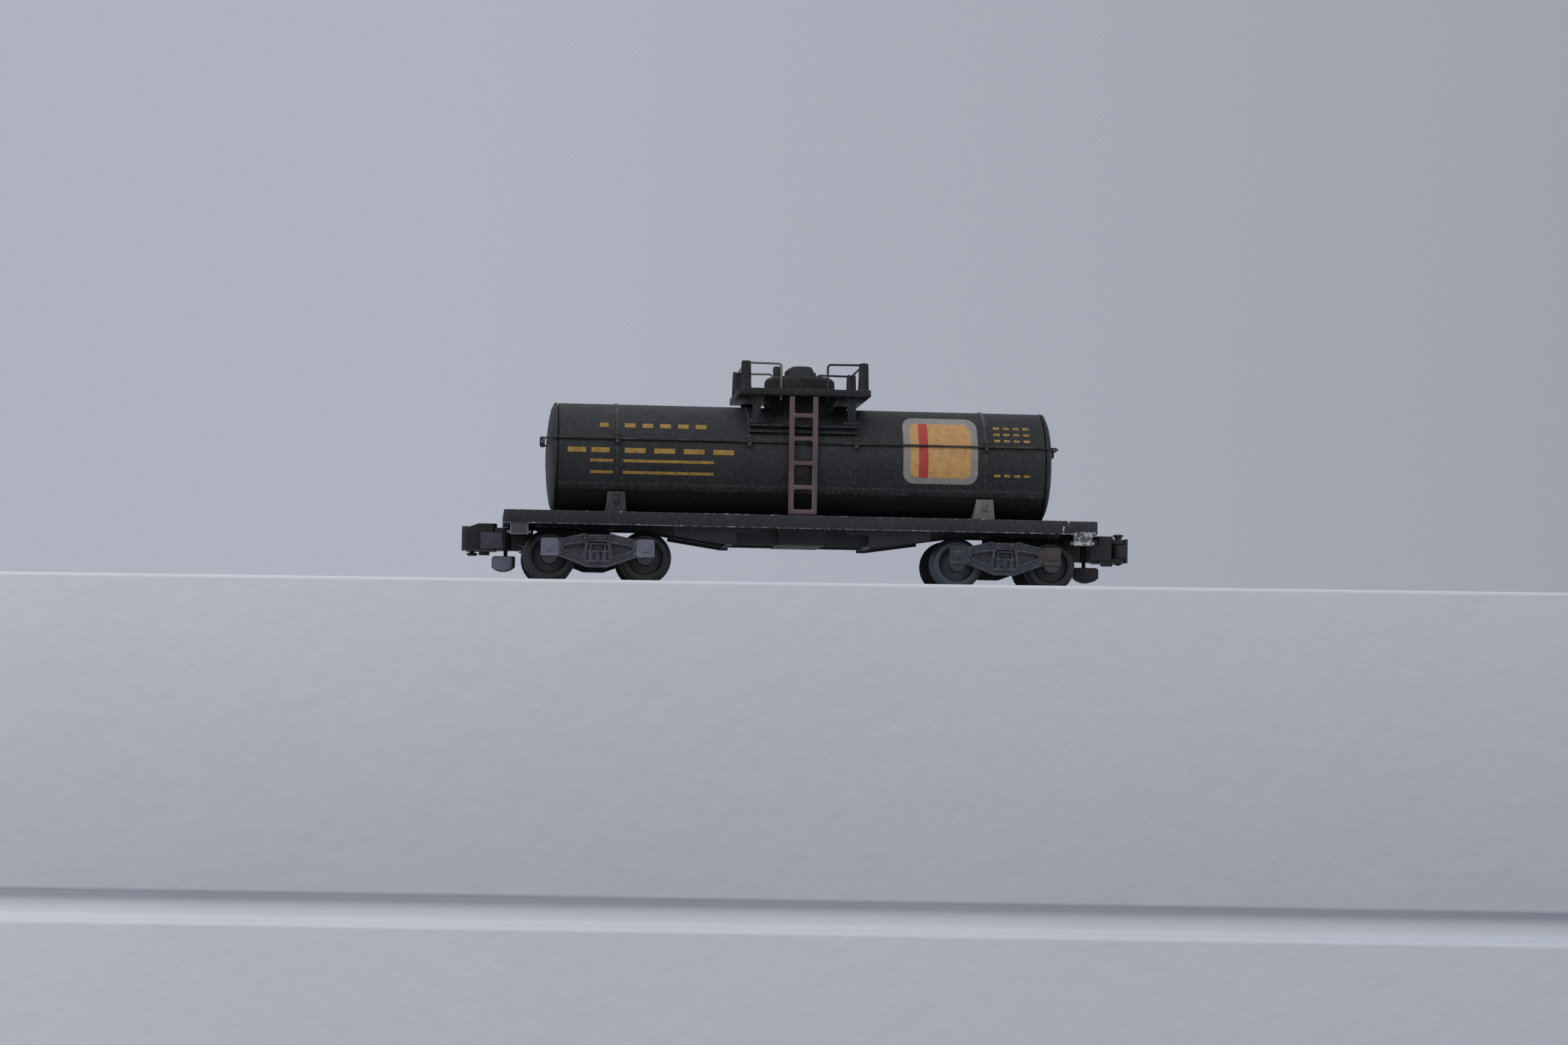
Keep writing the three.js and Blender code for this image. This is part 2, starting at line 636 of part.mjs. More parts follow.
// ---------- trucks ----------
const TONGUE_END_X = COUPLER_PIVOT_X - TRUCK_X;
const TONGUE_BOX_TOP = 16;
const JOURNAL_HALF_WIDTH = 2.6;

// Truck pieces are drawn for the right-hand end with the truck's centre at X = 0, coupler end at +X.
const buildTruckFrame = () => {
  const bolster = prismYZ([
    [-14.6, 10.0],
    [-6, 9.6],
    [6, 9.6],
    [14.6, 10.0],
    [14.6, 13.4],
    [7, 15.3],
    [-7, 15.3],
    [-14.6, 13.4],
  ], -3.2, 3.2);
  const tenons = box(-1.7, 1.7, -16.2, 16.2, 10.0, 11.2);
  const pad = turnedZ(rod(4.5, 14, 16.6), 20);
  const tongueOutline = [
    [0, -4.2],
    [9, -4.2],
    [13, -2.7],
    ...circlePoints(TONGUE_END_X, 0, 2.6, -Math.PI / 2, Math.PI / 2, 8),
    [13, 2.7],
    [9, 4.2],
    [0, 4.2],
  ];
  const tongue = prismXY(tongueOutline, 10.2, 11.6);
  const tongueBoxOutline = [[3, -4.2], [14, -4.2], [17.6, -2.7], [17.6, 2.7], [14, 4.2], [3, 4.2]];
  const tongueBox = prismXY(tongueBoxOutline, 11, TONGUE_BOX_TOP);
  const holes = union([
    turnedZ(rod(1.5, 5, 20), 16),
    turnedZ(rod(1.3, 9.9, 12), 12, TONGUE_END_X, 0),
  ]);
  return union([bolster, tenons, pad, tongue, tongueBox]).subtract(holes);
};

const halfSideframe = [
  [0, 4.7],
  [3.1, 4.7],
  [10.9, 7.6],
  [16.3, 7.6],
  [16.3, 12.6],
  [12.4, 12.9],
  [5.5, 14.4],
  [4.0, 14.9],
  [3.7, 14.5],
  [0, 14.5],
];

const buildSideframe = (side) => {
  const ys = (a, b) => (side > 0 ? [a, b] : [-b, -a]);
  const outline = [...halfSideframe, ...mirrorPoints(halfSideframe).slice(1, -1)];
  const plate = prismXZ(outline, ...ys(SIDEFRAME_INNER_Y, SIDEFRAME_OUTER_Y));
  const added = [plate];
  const cuts = [];
  for (const s of [-1, 1]) {
    const x = s * AXLE_X;
    added.push(turnedY(rod(2.3, ...ys(SIDEFRAME_INNER_Y, 16.6)), 14, x, AXLE_Z));
    added.push(prismXZ([
      [x - JOURNAL_HALF_WIDTH, 7.8],
      [x + JOURNAL_HALF_WIDTH, 7.8],
      [x + JOURNAL_HALF_WIDTH, 12.5],
      [x + 2.0, 13.2],
      [x - 2.0, 13.2],
      [x - JOURNAL_HALF_WIDTH, 12.5],
    ], ...ys(16, 17.7)));
    added.push(box(x - 1.55, x + 1.55, ...ys(17, 18.1), 9.3, 11.3));
    cuts.push(turnedY(rod(1.3, ...ys(14, 16.4)), 8, x, AXLE_Z));
    const pocket = [[4.6, 7.8], [10.0, 9.8], [10.4, 10.4], [9.8, 11.0], [4.1, 11.9], [3.7, 11.4]];
    cuts.push(prismXZ(s > 0 ? pocket : mirrorPoints(pocket), ...ys(15.7, 18)));
  }
  cuts.push(prismXZ([[-3.6, 6.8], [3.6, 6.8], [2.8, 12.6], [-2.8, 12.6]], ...ys(15.8, 18)));
  const springs = [-2.2, 0, 2.2].map((x) => turnedZ(rod(0.75, 6.6, 9.2), 6, x, side * 15.95));
  const windowFrame = box(-2.4, 2.4, ...ys(15.6, 16.6), 9.1, 11.8);
  const shelf = box(-3.3, 3.3, ...ys(15.6, 16.5), 12.0, 12.3);
  const window = box(-2.0, 2.0, ...ys(14, 18), 9.7, 11.5);
  return union(added).subtract(union(cuts)).add(union([...springs, windowFrame, shelf])).subtract(window);
};

const buildAxle = (x) => turnedY([
  [0, -16.1],
  [1.0, -16.1],
  [1.0, -14.3],
  [1.2, -14.3],
  [1.2, 14.3],
  [1.0, 14.3],
  [1.0, 16.1],
  [0, 16.1],
], 12, x, AXLE_Z);

const wheelProfile = [
  [1.5, WHEEL_BACK_Y],
  [FLANGE_RADIUS - 0.3, WHEEL_BACK_Y],
  [FLANGE_RADIUS, WHEEL_BACK_Y + 0.6],
  [TREAD_RADIUS + 0.05, WHEEL_BACK_Y + 1.3],
  [TREAD_RADIUS - 0.3, WHEEL_FACE_Y],
  [5.3, WHEEL_FACE_Y],
  [4.9, WHEEL_FACE_Y - 1.1],
  [2.4, WHEEL_FACE_Y - 1.1],
  [2.4, WHEEL_FACE_Y - 0.1],
  [1.5, WHEEL_FACE_Y - 0.1],
  [1.5, WHEEL_BACK_Y],
];

const buildWheel = (x, side) => turnedY(wheelProfile.map(([r, y]) => [r, side * y]), 24, x, AXLE_Z);

const buildPivotRivet = () => turnedZ([
  [0, 8.3],
  [1.7, 8.3],
  [2.1, 8.7],
  [2.1, 9.3],
  [1.2, 9.3],
  [1.2, 19.9],
  [0, 19.9],
], 14);

const buildCouplerRivet = () => turnedZ([
  [0, 9.2],
  [1.7, 9.3],
  [1.7, 9.9],
  [1.0, 9.9],
  [1.0, COUNTERBORE_Z + GAP],
  [1.7, COUNTERBORE_Z + GAP],
  [1.3, COUNTERBORE_Z + 0.9],
  [0, COUNTERBORE_Z + 1],
], 14, TONGUE_END_X, 0);

// ---------- couplers ----------
// Coupler pieces are drawn for the right-hand end in the wagon's own frame.
const HEAD_BOTTOM = 9.7;
const HEAD_TOP = 17.8;

const buildCouplerHead = () => {
  const shankOutline = [
    ...circlePoints(COUPLER_PIVOT_X, 0, 2.6, Math.PI / 2, (3 * Math.PI) / 2, 8),
    [86.5, -2.6],
    [88.4, -4.6],
    [91.4, -4.6],
    [91.4, 4.6],
    [88.4, 4.6],
    [86.5, 2.6],
  ];
  const shank = prismXY(shankOutline, SHANK_BOTTOM, SHANK_TOP);
  const blockOutline = [[90.8, -3.6], [92.0, -4.9], [96.2, -4.9], [96.2, 4.9], [92.0, 4.9], [90.8, 3.6]];
  const block = prismXY(blockOutline, HEAD_BOTTOM, HEAD_TOP);
  const guardOutline = [
    [96.0, 1.9],
    [97.6, 2.7],
    [99.4, 2.9],
    [100.6, 3.6],
    [101.0, 4.6],
    [100.2, 5.3],
    [96.0, 5.1],
  ];
  const guard = prismXY(guardOutline, HEAD_BOTTOM, HEAD_TOP);
  const earOutline = [
    [96.0, -5.1],
    [98.4, -5.1],
    ...circlePoints(KNUCKLE_PIVOT_X, KNUCKLE_PIVOT_Y, 1.9, -Math.PI / 3, Math.PI / 3, 6),
    [97.0, -1.4],
    [96.0, -1.4],
  ];
  const ears = prismXY(earOutline, HEAD_BOTTOM, 16.9);
  const lug = box(92.9, 96.1, -4.7, -2.2, 8.7, HEAD_BOTTOM + 0.2);
  const slope = prismXZ([[96.0, 17.85], [102, 15.7], [102, 20], [90, 20], [90, 17.85]], 1, 8);
  const jaw = prismXY([[95.6, -7], [103, -7], [103, 1.5], [98.2, 1.5], [95.6, 0.4]], 10.9, 15.6);
  const pinHole = turnedZ(rod(1.05, 5, 25), 12, KNUCKLE_PIVOT_X, KNUCKLE_PIVOT_Y);
  const rivetHole = turnedZ(rod(1.3, 5, 25), 12, COUPLER_PIVOT_X, 0);
  const liftHole = turnedZ(rod(0.9, 5, 25), 12, LIFT_PIN_X, 0);
  const tongueRoom = turnedZ(rod(3.0, 5, 11.9), 20, COUPLER_PIVOT_X, 0);
  const rivetSink = turnedZ(rod(2.0, COUNTERBORE_Z, 25), 14, COUPLER_PIVOT_X, 0);
  const liftSink = turnedZ(rod(1.65, COUNTERBORE_Z, 25), 14, LIFT_PIN_X, 0);
  return union([shank, block, guard, ears, lug])
    .subtract(slope)
    .subtract(union([jaw, pinHole, rivetHole, liftHole, tongueRoom, rivetSink, liftSink]));
};

const buildKnuckle = () => {
  const barrel = prismXY(circlePoints(KNUCKLE_PIVOT_X, KNUCKLE_PIVOT_Y, 1.75, 0, 2 * Math.PI, 16).slice(0, -1), 11.2, 15.3);
  const arm = prismXY([
    [98.4, -4.95],
    [100.0, -4.7],
    [100.6, -3.9],
    [100.6, -1.0],
    [99.4, -0.6],
    [98.6, -1.7],
  ], 11.2, 15.3);
  const nose = prismXY([
    [100.25, -4.2],
    [100.9, -3.6],
    [KNUCKLE_FRONT_X, -2.4],
    [KNUCKLE_FRONT_X, 0.2],
    [100.8, 1.3],
    [99.7, 1.6],
    [99.3, 0.9],
    [99.4, -0.6],
    [100.25, -1.0],
  ], 9.9, 17.1);
  const hole = turnedZ(rod(1.05, 5, 25), 12, KNUCKLE_PIVOT_X, KNUCKLE_PIVOT_Y);
  return union([barrel, arm, nose]).subtract(hole);
};

// The pin goes in head-up at the right-hand end and head-down at the left-hand one.
const buildKnucklePin = (headUp) => {
  const profile = headUp
    ? [[0, 9.0], [0.75, 9.0], [0.75, 17.2], [1.15, 17.2], [1.15, 17.9], [1.65, 17.9], [1.6, 18.3], [1.1, 18.5], [0, 18.5]]
    : [[0, 8.4], [1.2, 8.4], [1.6, 8.7], [1.6, 9.3], [0.75, 9.3], [0.75, 17.3], [0, 17.3]];
  return turnedZ(profile, 12, KNUCKLE_PIVOT_X, KNUCKLE_PIVOT_Y);
};

const buildLiftPin = () => {
  const weight = prismXZ([
    [85.2, 8.2],
    [85.2, 5.0],
    [86.3, 4.2],
    [87.7, 3.7],
    [89.4, 3.6],
    [91.0, 4.1],
    [92.2, 5.0],
    [92.2, 7.6],
    [91.6, 8.2],
  ], -2.8, 2.8);
  const stem = turnedZ([
    [0, 7.9],
    [0.6, 7.9],
    [0.6, COUNTERBORE_Z + GAP],
    [1.35, COUNTERBORE_Z + GAP],
    [1.1, COUNTERBORE_Z + 1],
    [0, COUNTERBORE_Z + 1.1],
  ], 12, LIFT_PIN_X, 0);
  return weight.add(stem);
};

// ---------- place both ends ----------
for (const [end, side] of [['left', -1], ['right', 1]]) {
  const turned = (manifold) => (side > 0 ? manifold : manifold.rotate([0, 0, 180]));
  const onTruck = (manifold) => turned(manifold.translate([TRUCK_X, 0, 0]));
  const near = side > 0 ? -1 : 1;

  addNode(`truck_${end}_frame`, onTruck(buildTruckFrame()), CASTING);
  addNode(`truck_${end}_sideframe_near`, onTruck(buildSideframe(near)), TRUCK_GREY);
  addNode(`truck_${end}_sideframe_far`, onTruck(buildSideframe(-near)), TRUCK_GREY);
  for (const [place, x] of [['inner', -AXLE_X], ['outer', AXLE_X]]) {
    addNode(`truck_${end}_axle_${place}`, onTruck(buildAxle(x)), STEEL);
    addNode(`truck_${end}_wheel_${place}_near`, onTruck(buildWheel(x, near)), WHEEL_BLACK);
    addNode(`truck_${end}_wheel_${place}_far`, onTruck(buildWheel(x, -near)), WHEEL_BLACK);
  }
  addNode(`truck_${end}_pivot_rivet`, onTruck(buildPivotRivet()), STEEL);
  addNode(`coupler_${end}_rivet`, onTruck(buildCouplerRivet()), STEEL);
  addNode(`coupler_${end}_head`, turned(buildCouplerHead()), COUPLER_BLACK);
  addNode(`coupler_${end}_knuckle`, turned(buildKnuckle()), COUPLER_BLACK);
  addNode(`coupler_${end}_knuckle_pin`, turned(buildKnucklePin(side > 0)), COUPLER_BLACK);
  addNode(`coupler_${end}_lift_pin`, turned(buildLiftPin()), COUPLER_BLACK);
}

export default group;
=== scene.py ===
"""Model tank wagon: the detailed visual model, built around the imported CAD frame."""
import math

import bmesh
import bpy
from mathutils import Matrix, Vector


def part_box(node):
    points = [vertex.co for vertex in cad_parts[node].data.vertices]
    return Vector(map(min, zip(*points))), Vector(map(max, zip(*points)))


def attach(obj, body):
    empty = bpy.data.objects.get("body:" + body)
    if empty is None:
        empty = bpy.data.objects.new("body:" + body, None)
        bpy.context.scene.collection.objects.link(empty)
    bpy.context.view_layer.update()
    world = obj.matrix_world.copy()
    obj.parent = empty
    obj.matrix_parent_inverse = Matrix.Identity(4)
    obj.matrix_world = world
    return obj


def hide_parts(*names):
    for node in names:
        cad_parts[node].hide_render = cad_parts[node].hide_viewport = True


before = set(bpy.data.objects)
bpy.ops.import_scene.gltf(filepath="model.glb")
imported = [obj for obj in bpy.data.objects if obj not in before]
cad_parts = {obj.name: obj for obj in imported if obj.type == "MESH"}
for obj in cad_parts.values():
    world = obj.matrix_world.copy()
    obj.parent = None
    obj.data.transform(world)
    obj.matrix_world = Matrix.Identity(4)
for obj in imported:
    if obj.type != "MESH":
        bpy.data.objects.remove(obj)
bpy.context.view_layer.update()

MM = 0.001

# ---------------------------------------------------------------- places from the CAD


def box_mm(node):
    """A CAD node's lowest and highest corners in millimetres."""
    low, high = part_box(node)
    return low / MM, high / MM


def centre_mm(node):
    low, high = box_mm(node)
    return (low + high) / 2


END_LOW, END_HIGH = box_mm("tank_end_right")
TANK_R = (END_HIGH.z - END_LOW.z) / 2 - 0.1
TANK_Z = (END_HIGH.z + END_LOW.z) / 2
SHELL_X = box_mm("tank_shell")[1].x
STRAP_X = [centre_mm("tank_saddle_left").x, centre_mm("tank_saddle_right").x]
SEAM_X = [centre_mm("stanchion_near_2").x, centre_mm("stanchion_near_3").x]
RAIL_Z = centre_mm("tank_handrail").z
TRUCK_X = centre_mm("truck_right_pivot_rivet").x
AXLE_X = centre_mm("truck_right_axle_outer").x - TRUCK_X
AXLE_Z = centre_mm("truck_right_axle_outer").z
PLATE_HIGH = box_mm("ladder_near")[1].z + 0.3
KNUCKLE_PIN = centre_mm("coupler_right_knuckle_pin")
BAND_SUNK = 0.25
WALL = 1.4
STRAP_HALF_WIDTH, STRAP_HEIGHT = 0.58, 0.32
SEAM_HALF_WIDTH, SEAM_HEIGHT = 0.4, 0.17
HANDRAIL_RADIUS = 0.32
PLATFORM_WIRE_RADIUS, PLATFORM_WIRE_Z = 0.33, 67.0
WHEEL_BACK, WHEEL_FRONT = 9.9, 13.7

# ---------------------------------------------------------------- mesh helpers


def skinned(bm, rings):
    """Walls between rings with the same number of points, and a cap on each end ring."""
    width = len(rings[0])
    for low, high in zip(rings, rings[1:]):
        for k in range(width):
            j = (k + 1) % width
            bm.faces.new((low[k], low[j], high[j], high[k]))
    bm.faces.new(rings[0][::-1])
    bm.faces.new(rings[-1])
    bmesh.ops.recalc_face_normals(bm, faces=bm.faces)
    return bm


def prism(points, low, high, plane="XY"):
    """A polygon in a plane, carried from low to high along the third axis."""
    bm = bmesh.new()
    order = {"XY": (0, 1, 2), "XZ": (0, 2, 1), "YZ": (1, 2, 0)}[plane]
    rings = []
    for level in (low, high):
        ring = []
        for u, v in points:
            co = [0.0, 0.0, 0.0]
            co[order[0]], co[order[1]], co[order[2]] = u, v, level
            ring.append(bm.verts.new(co))
        rings.append(ring)
    return skinned(bm, rings)


def block(x0, x1, y0, y1, z0, z1):
    return prism([(x0, y0), (x1, y0), (x1, y1), (x0, y1)], z0, z1)


def lathe(profile, segments, axis="Z", at=(0, 0, 0)):
    """Profile points (radius, height) turned about an axis through a point."""
    bm = bmesh.new()
    closed = profile[0] == profile[-1]
    points = profile[:-1] if closed else profile
    spin = {
        "X": lambda r, h, c, s: (h, r * c, r * s),
        "Y": lambda r, h, c, s: (r * s, h, r * c),
        "Z": lambda r, h, c, s: (r * c, r * s, h),
    }[axis]
    rings = []
    for r, h in points:
        if r < 1e-6:
            rings.append([bm.verts.new(Vector(spin(0, h, 1, 0)) + Vector(at))])
            continue
        ring = []
        for i in range(segments):
            a = 2 * math.pi * i / segments
            ring.append(bm.verts.new(Vector(spin(r, h, math.cos(a), math.sin(a))) + Vector(at)))
        rings.append(ring)
    pairs = list(zip(rings, rings[1:]))
    if closed:
        pairs.append((rings[-1], rings[0]))
    for low, high in pairs:
        for i in range(segments):
            j = (i + 1) % segments
            if len(low) == 1 and len(high) == 1:
                continue
            if len(low) == 1:
                bm.faces.new((low[0], high[j], high[i]))
            elif len(high) == 1:
                bm.faces.new((low[i], low[j], high[0]))
            else:
                bm.faces.new((low[i], low[j], high[j], high[i]))
    bmesh.ops.recalc_face_normals(bm, faces=bm.faces)
    return bm


def rounded(points, radius, steps=4):
    """A polygon whose corners are arcs; radius is one number or one for each corner."""
    count = len(points)
    radii = radius if isinstance(radius, (list, tuple)) else [radius] * count
    made = []
    for i, p in enumerate(points):
        p = Vector(p)
        before, after = Vector(points[i - 1]), Vector(points[(i + 1) % count])
        r = min(radii[i], 0.45 * (before - p).length, 0.45 * (after - p).length)
        if r < 1e-4:
            made.append(tuple(p))
            continue
        a = p + (before - p).normalized() * r
        b = p + (after - p).normalized() * r
        for k in range(steps + 1):
            t = k / steps
            q = a * (1 - t) ** 2 + p * 2 * t * (1 - t) + b * t ** 2
            made.append(tuple(q))
    return made


def soften(bm, width, segments=2, angle=25):
    """Rounds every edge sharper than the angle."""
    bmesh.ops.remove_doubles(bm, verts=bm.verts, dist=1e-4)
    bmesh.ops.dissolve_limit(
        bm, angle_limit=math.radians(0.6), verts=bm.verts, edges=bm.edges, delimit=set()
    )
    edges = [
        e for e in bm.edges
        if len(e.link_faces) == 2 and e.calc_face_angle(0) > math.radians(angle)
    ]
    bmesh.ops.bevel(
        bm, geom=edges, offset=width, offset_type="OFFSET", segments=segments,
        profile=0.5, affect="EDGES", clamp_overlap=True,
    )
    return bm


def joined(parts):
    """Several meshes as one."""
    bm = bmesh.new()
    for part in parts:
        scratch = bpy.data.meshes.new("scratch")
        part.to_mesh(scratch)
        part.free()
        bm.from_mesh(scratch)
        bpy.data.meshes.remove(scratch)
    return bm


def moved(bm, x=0.0, y=0.0, z=0.0):
    bmesh.ops.translate(bm, vec=(x, y, z), verts=bm.verts)
    return bm


def half_turn(bm):
    """Turned about Z, which takes the right end to the left."""
    bmesh.ops.rotate(bm, cent=(0, 0, 0), matrix=Matrix.Rotation(math.pi, 3, "Z"), verts=bm.verts)
    return bm


def facing(bm, side):
    """A mesh drawn for the +Y side, mirrored to face -Y when side is negative."""
    if side < 0:
        for v in bm.verts:
            v.co.y = -v.co.y
        bmesh.ops.reverse_faces(bm, faces=bm.faces)
    return bm


def solid_object(bm):
    mesh = bpy.data.meshes.new("scratch")
    bm.to_mesh(mesh)
    bm.free()
    obj = bpy.data.objects.new("scratch", mesh)
    bpy.context.scene.collection.objects.link(obj)
    return obj


def boolean(bm, cutter):
    """One closed mesh cut by another."""
    base, tool = solid_object(bm), solid_object(cutter)
    modifier = base.modifiers.new("cut", "BOOLEAN")
    modifier.object, modifier.operation, modifier.solver = tool, "DIFFERENCE", "EXACT"
    modifier.use_self = True
    graph = bpy.context.evaluated_depsgraph_get()
    result = bmesh.new()
    result.from_mesh(base.evaluated_get(graph).to_mesh())
    for obj in (base, tool):
        mesh = obj.data
        bpy.data.objects.remove(obj)
        bpy.data.meshes.remove(mesh)
    return result


def cad_copy(node):
    """A CAD node's own shape, in millimetres, for rounding its edges."""
    bm = bmesh.new()
    bm.from_mesh(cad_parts[node].data)
    bmesh.ops.scale(bm, vec=(1 / MM,) * 3, verts=bm.verts)
    bmesh.ops.remove_doubles(bm, verts=bm.verts, dist=2e-4)
    return bm


def wire(corners, radius, bend, sides=14, bend_steps=6):
    """A round wire along straight runs with smooth bends, closed by slightly domed ends."""
    points = [Vector(c) for c in corners]
    path = [points[0]]
    for i in range(1, len(points) - 1):
        a = points[i] + (points[i - 1] - points[i]).normalized() * bend
        b = points[i] + (points[i + 1] - points[i]).normalized() * bend
        for k in range(bend_steps + 1):
            t = k / bend_steps
            path.append(a * (1 - t) ** 2 + points[i] * 2 * t * (1 - t) + b * t ** 2)
    path.append(points[-1])
    bm = bmesh.new()
    rings = []
    tangent = (path[1] - path[0]).normalized()
    helper = Vector((0, 0, 1)) if abs(tangent.z) < 0.9 else Vector((0, 1, 0))
    normal = helper.cross(tangent).normalized()
    for i, p in enumerate(path):
        a, b = path[max(i - 1, 0)], path[min(i + 1, len(path) - 1)]
        tangent = (b - a).normalized()
        normal = (normal - tangent * normal.dot(tangent)).normalized()
        side = tangent.cross(normal)
        ring = []
        for k in range(sides):
            angle = 2 * math.pi * k / sides
            ring.append(bm.verts.new(p + (normal * math.cos(angle) + side * math.sin(angle)) * radius))
        rings.append(ring)
    skinned(bm, rings)
    ends = [e for f in bm.faces if len(f.verts) == sides for e in f.edges]
    bmesh.ops.bevel(bm, geom=ends, offset=radius * 0.35, segments=2, profile=0.5, affect="EDGES")
    return bm


def on_tank(angle, radius, x):
    """A point at an angle up from the near side of the tank's axis."""
    return Vector((x, -radius * math.cos(angle), TANK_Z + radius * math.sin(angle)))


def arc_band(x, half_width, height, start, end):
    """A half-round ridge across the tank from one angle to another, with tapered ends."""
    steps = max(4, int(abs(end - start) / math.radians(2.5)))
    bm = bmesh.new()
    rings = []
    lanes = 8
    for i in range(steps + 1):
        angle = start + (end - start) * i / steps
        from_end = min(i, steps - i) / 2
        share = 0.35 + 0.65 * math.sqrt(max(0.0, 1 - (1 - min(from_end, 1)) ** 2))
        ring = [bm.verts.new(on_tank(angle, TANK_R - BAND_SUNK, x - half_width))]
        for k in range(lanes + 1):
            u = -1 + 2 * k / lanes
            lift = height * share * math.sqrt(max(0.0, 1 - u * u))
            ring.append(bm.verts.new(on_tank(angle, TANK_R + lift, x + u * half_width)))
        ring.append(bm.verts.new(on_tank(angle, TANK_R - BAND_SUNK, x + half_width)))
        rings.append(ring)
    return skinned(bm, rings)


def patch(rows, r0, r1):
    """A thin closed skin on the near side of the tank; rows are (height, left x, right x)."""
    bm = bmesh.new()
    rings = []
    for z, left, right in rows:
        angle = math.asin((z - TANK_Z) / TANK_R)
        rings.append([
            bm.verts.new(on_tank(angle, r1, left)),
            bm.verts.new(on_tank(angle, r1, right)),
            bm.verts.new(on_tank(angle, r0, right)),
            bm.verts.new(on_tank(angle, r0, left)),
        ])
    return skinned(bm, rings)


def patch_rows(x0, x1, z0, z1, corner=0.0, steps=12):
    """Rows of a rounded rectangle for patch()."""
    levels = {z0 + (z1 - z0) * i / steps for i in range(steps + 1)}
    if corner:
        for k in range(7):
            c = corner * (1 - math.cos(math.pi / 2 * k / 6))
            levels |= {z0 + c, z1 - c}
    rows = []
    for z in sorted(levels):
        inset = 0.0
        depth = min(z - z0, z1 - z)
        if corner and depth < corner:
            inset = corner - math.sqrt(max(0.0, corner ** 2 - (corner - depth) ** 2))
        rows.append((z, x0 + inset, x1 - inset))
    return rows


def mesh_object(name, bm, material, smooth):
    """A mesh in millimetres as an object in metres, smooth with sharp edges by angle."""
    bmesh.ops.scale(bm, vec=(MM,) * 3, verts=bm.verts)
    mesh = bpy.data.meshes.new(name)
    bm.to_mesh(mesh)
    bm.free()
    mesh.shade_smooth()
    mesh.set_sharp_from_angle(angle=math.radians(smooth))
    mesh.materials.append(material)
    obj = bpy.data.objects.new(name, mesh)
    bpy.context.scene.collection.objects.link(obj)
    return obj


def print_box(x0, x1, z0, z1, low, high, corner=0.0, steps=3):
    """A printed rectangle, from low to high above the tank's surface."""
    return patch(patch_rows(x0, x1, z0, z1, corner, steps), TANK_R + low, TANK_R + high)


def piece(name, bm, material, node=None, smooth=38, body="wagon_frame"):
    """One finished piece, riding on its body."""
    bmesh.ops.remove_doubles(bm, verts=bm.verts, dist=5e-4)
    bmesh.ops.dissolve_degenerate(bm, edges=bm.edges, dist=2e-4)
    obj = mesh_object(name, bm, material, smooth)
    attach(obj, body)
    for n in [node] if isinstance(node, str) else (node or []):
        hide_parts(n)
    return obj


# ---------------------------------------------------------------- materials


def tone(r, g, b):
    """A colour given in 0..255 display steps, as linear light."""
    def linear(c):
        c /= 255
        return c / 12.92 if c <= 0.04045 else ((c + 0.055) / 1.055) ** 2.4
    return (linear(r), linear(g), linear(b), 1.0)


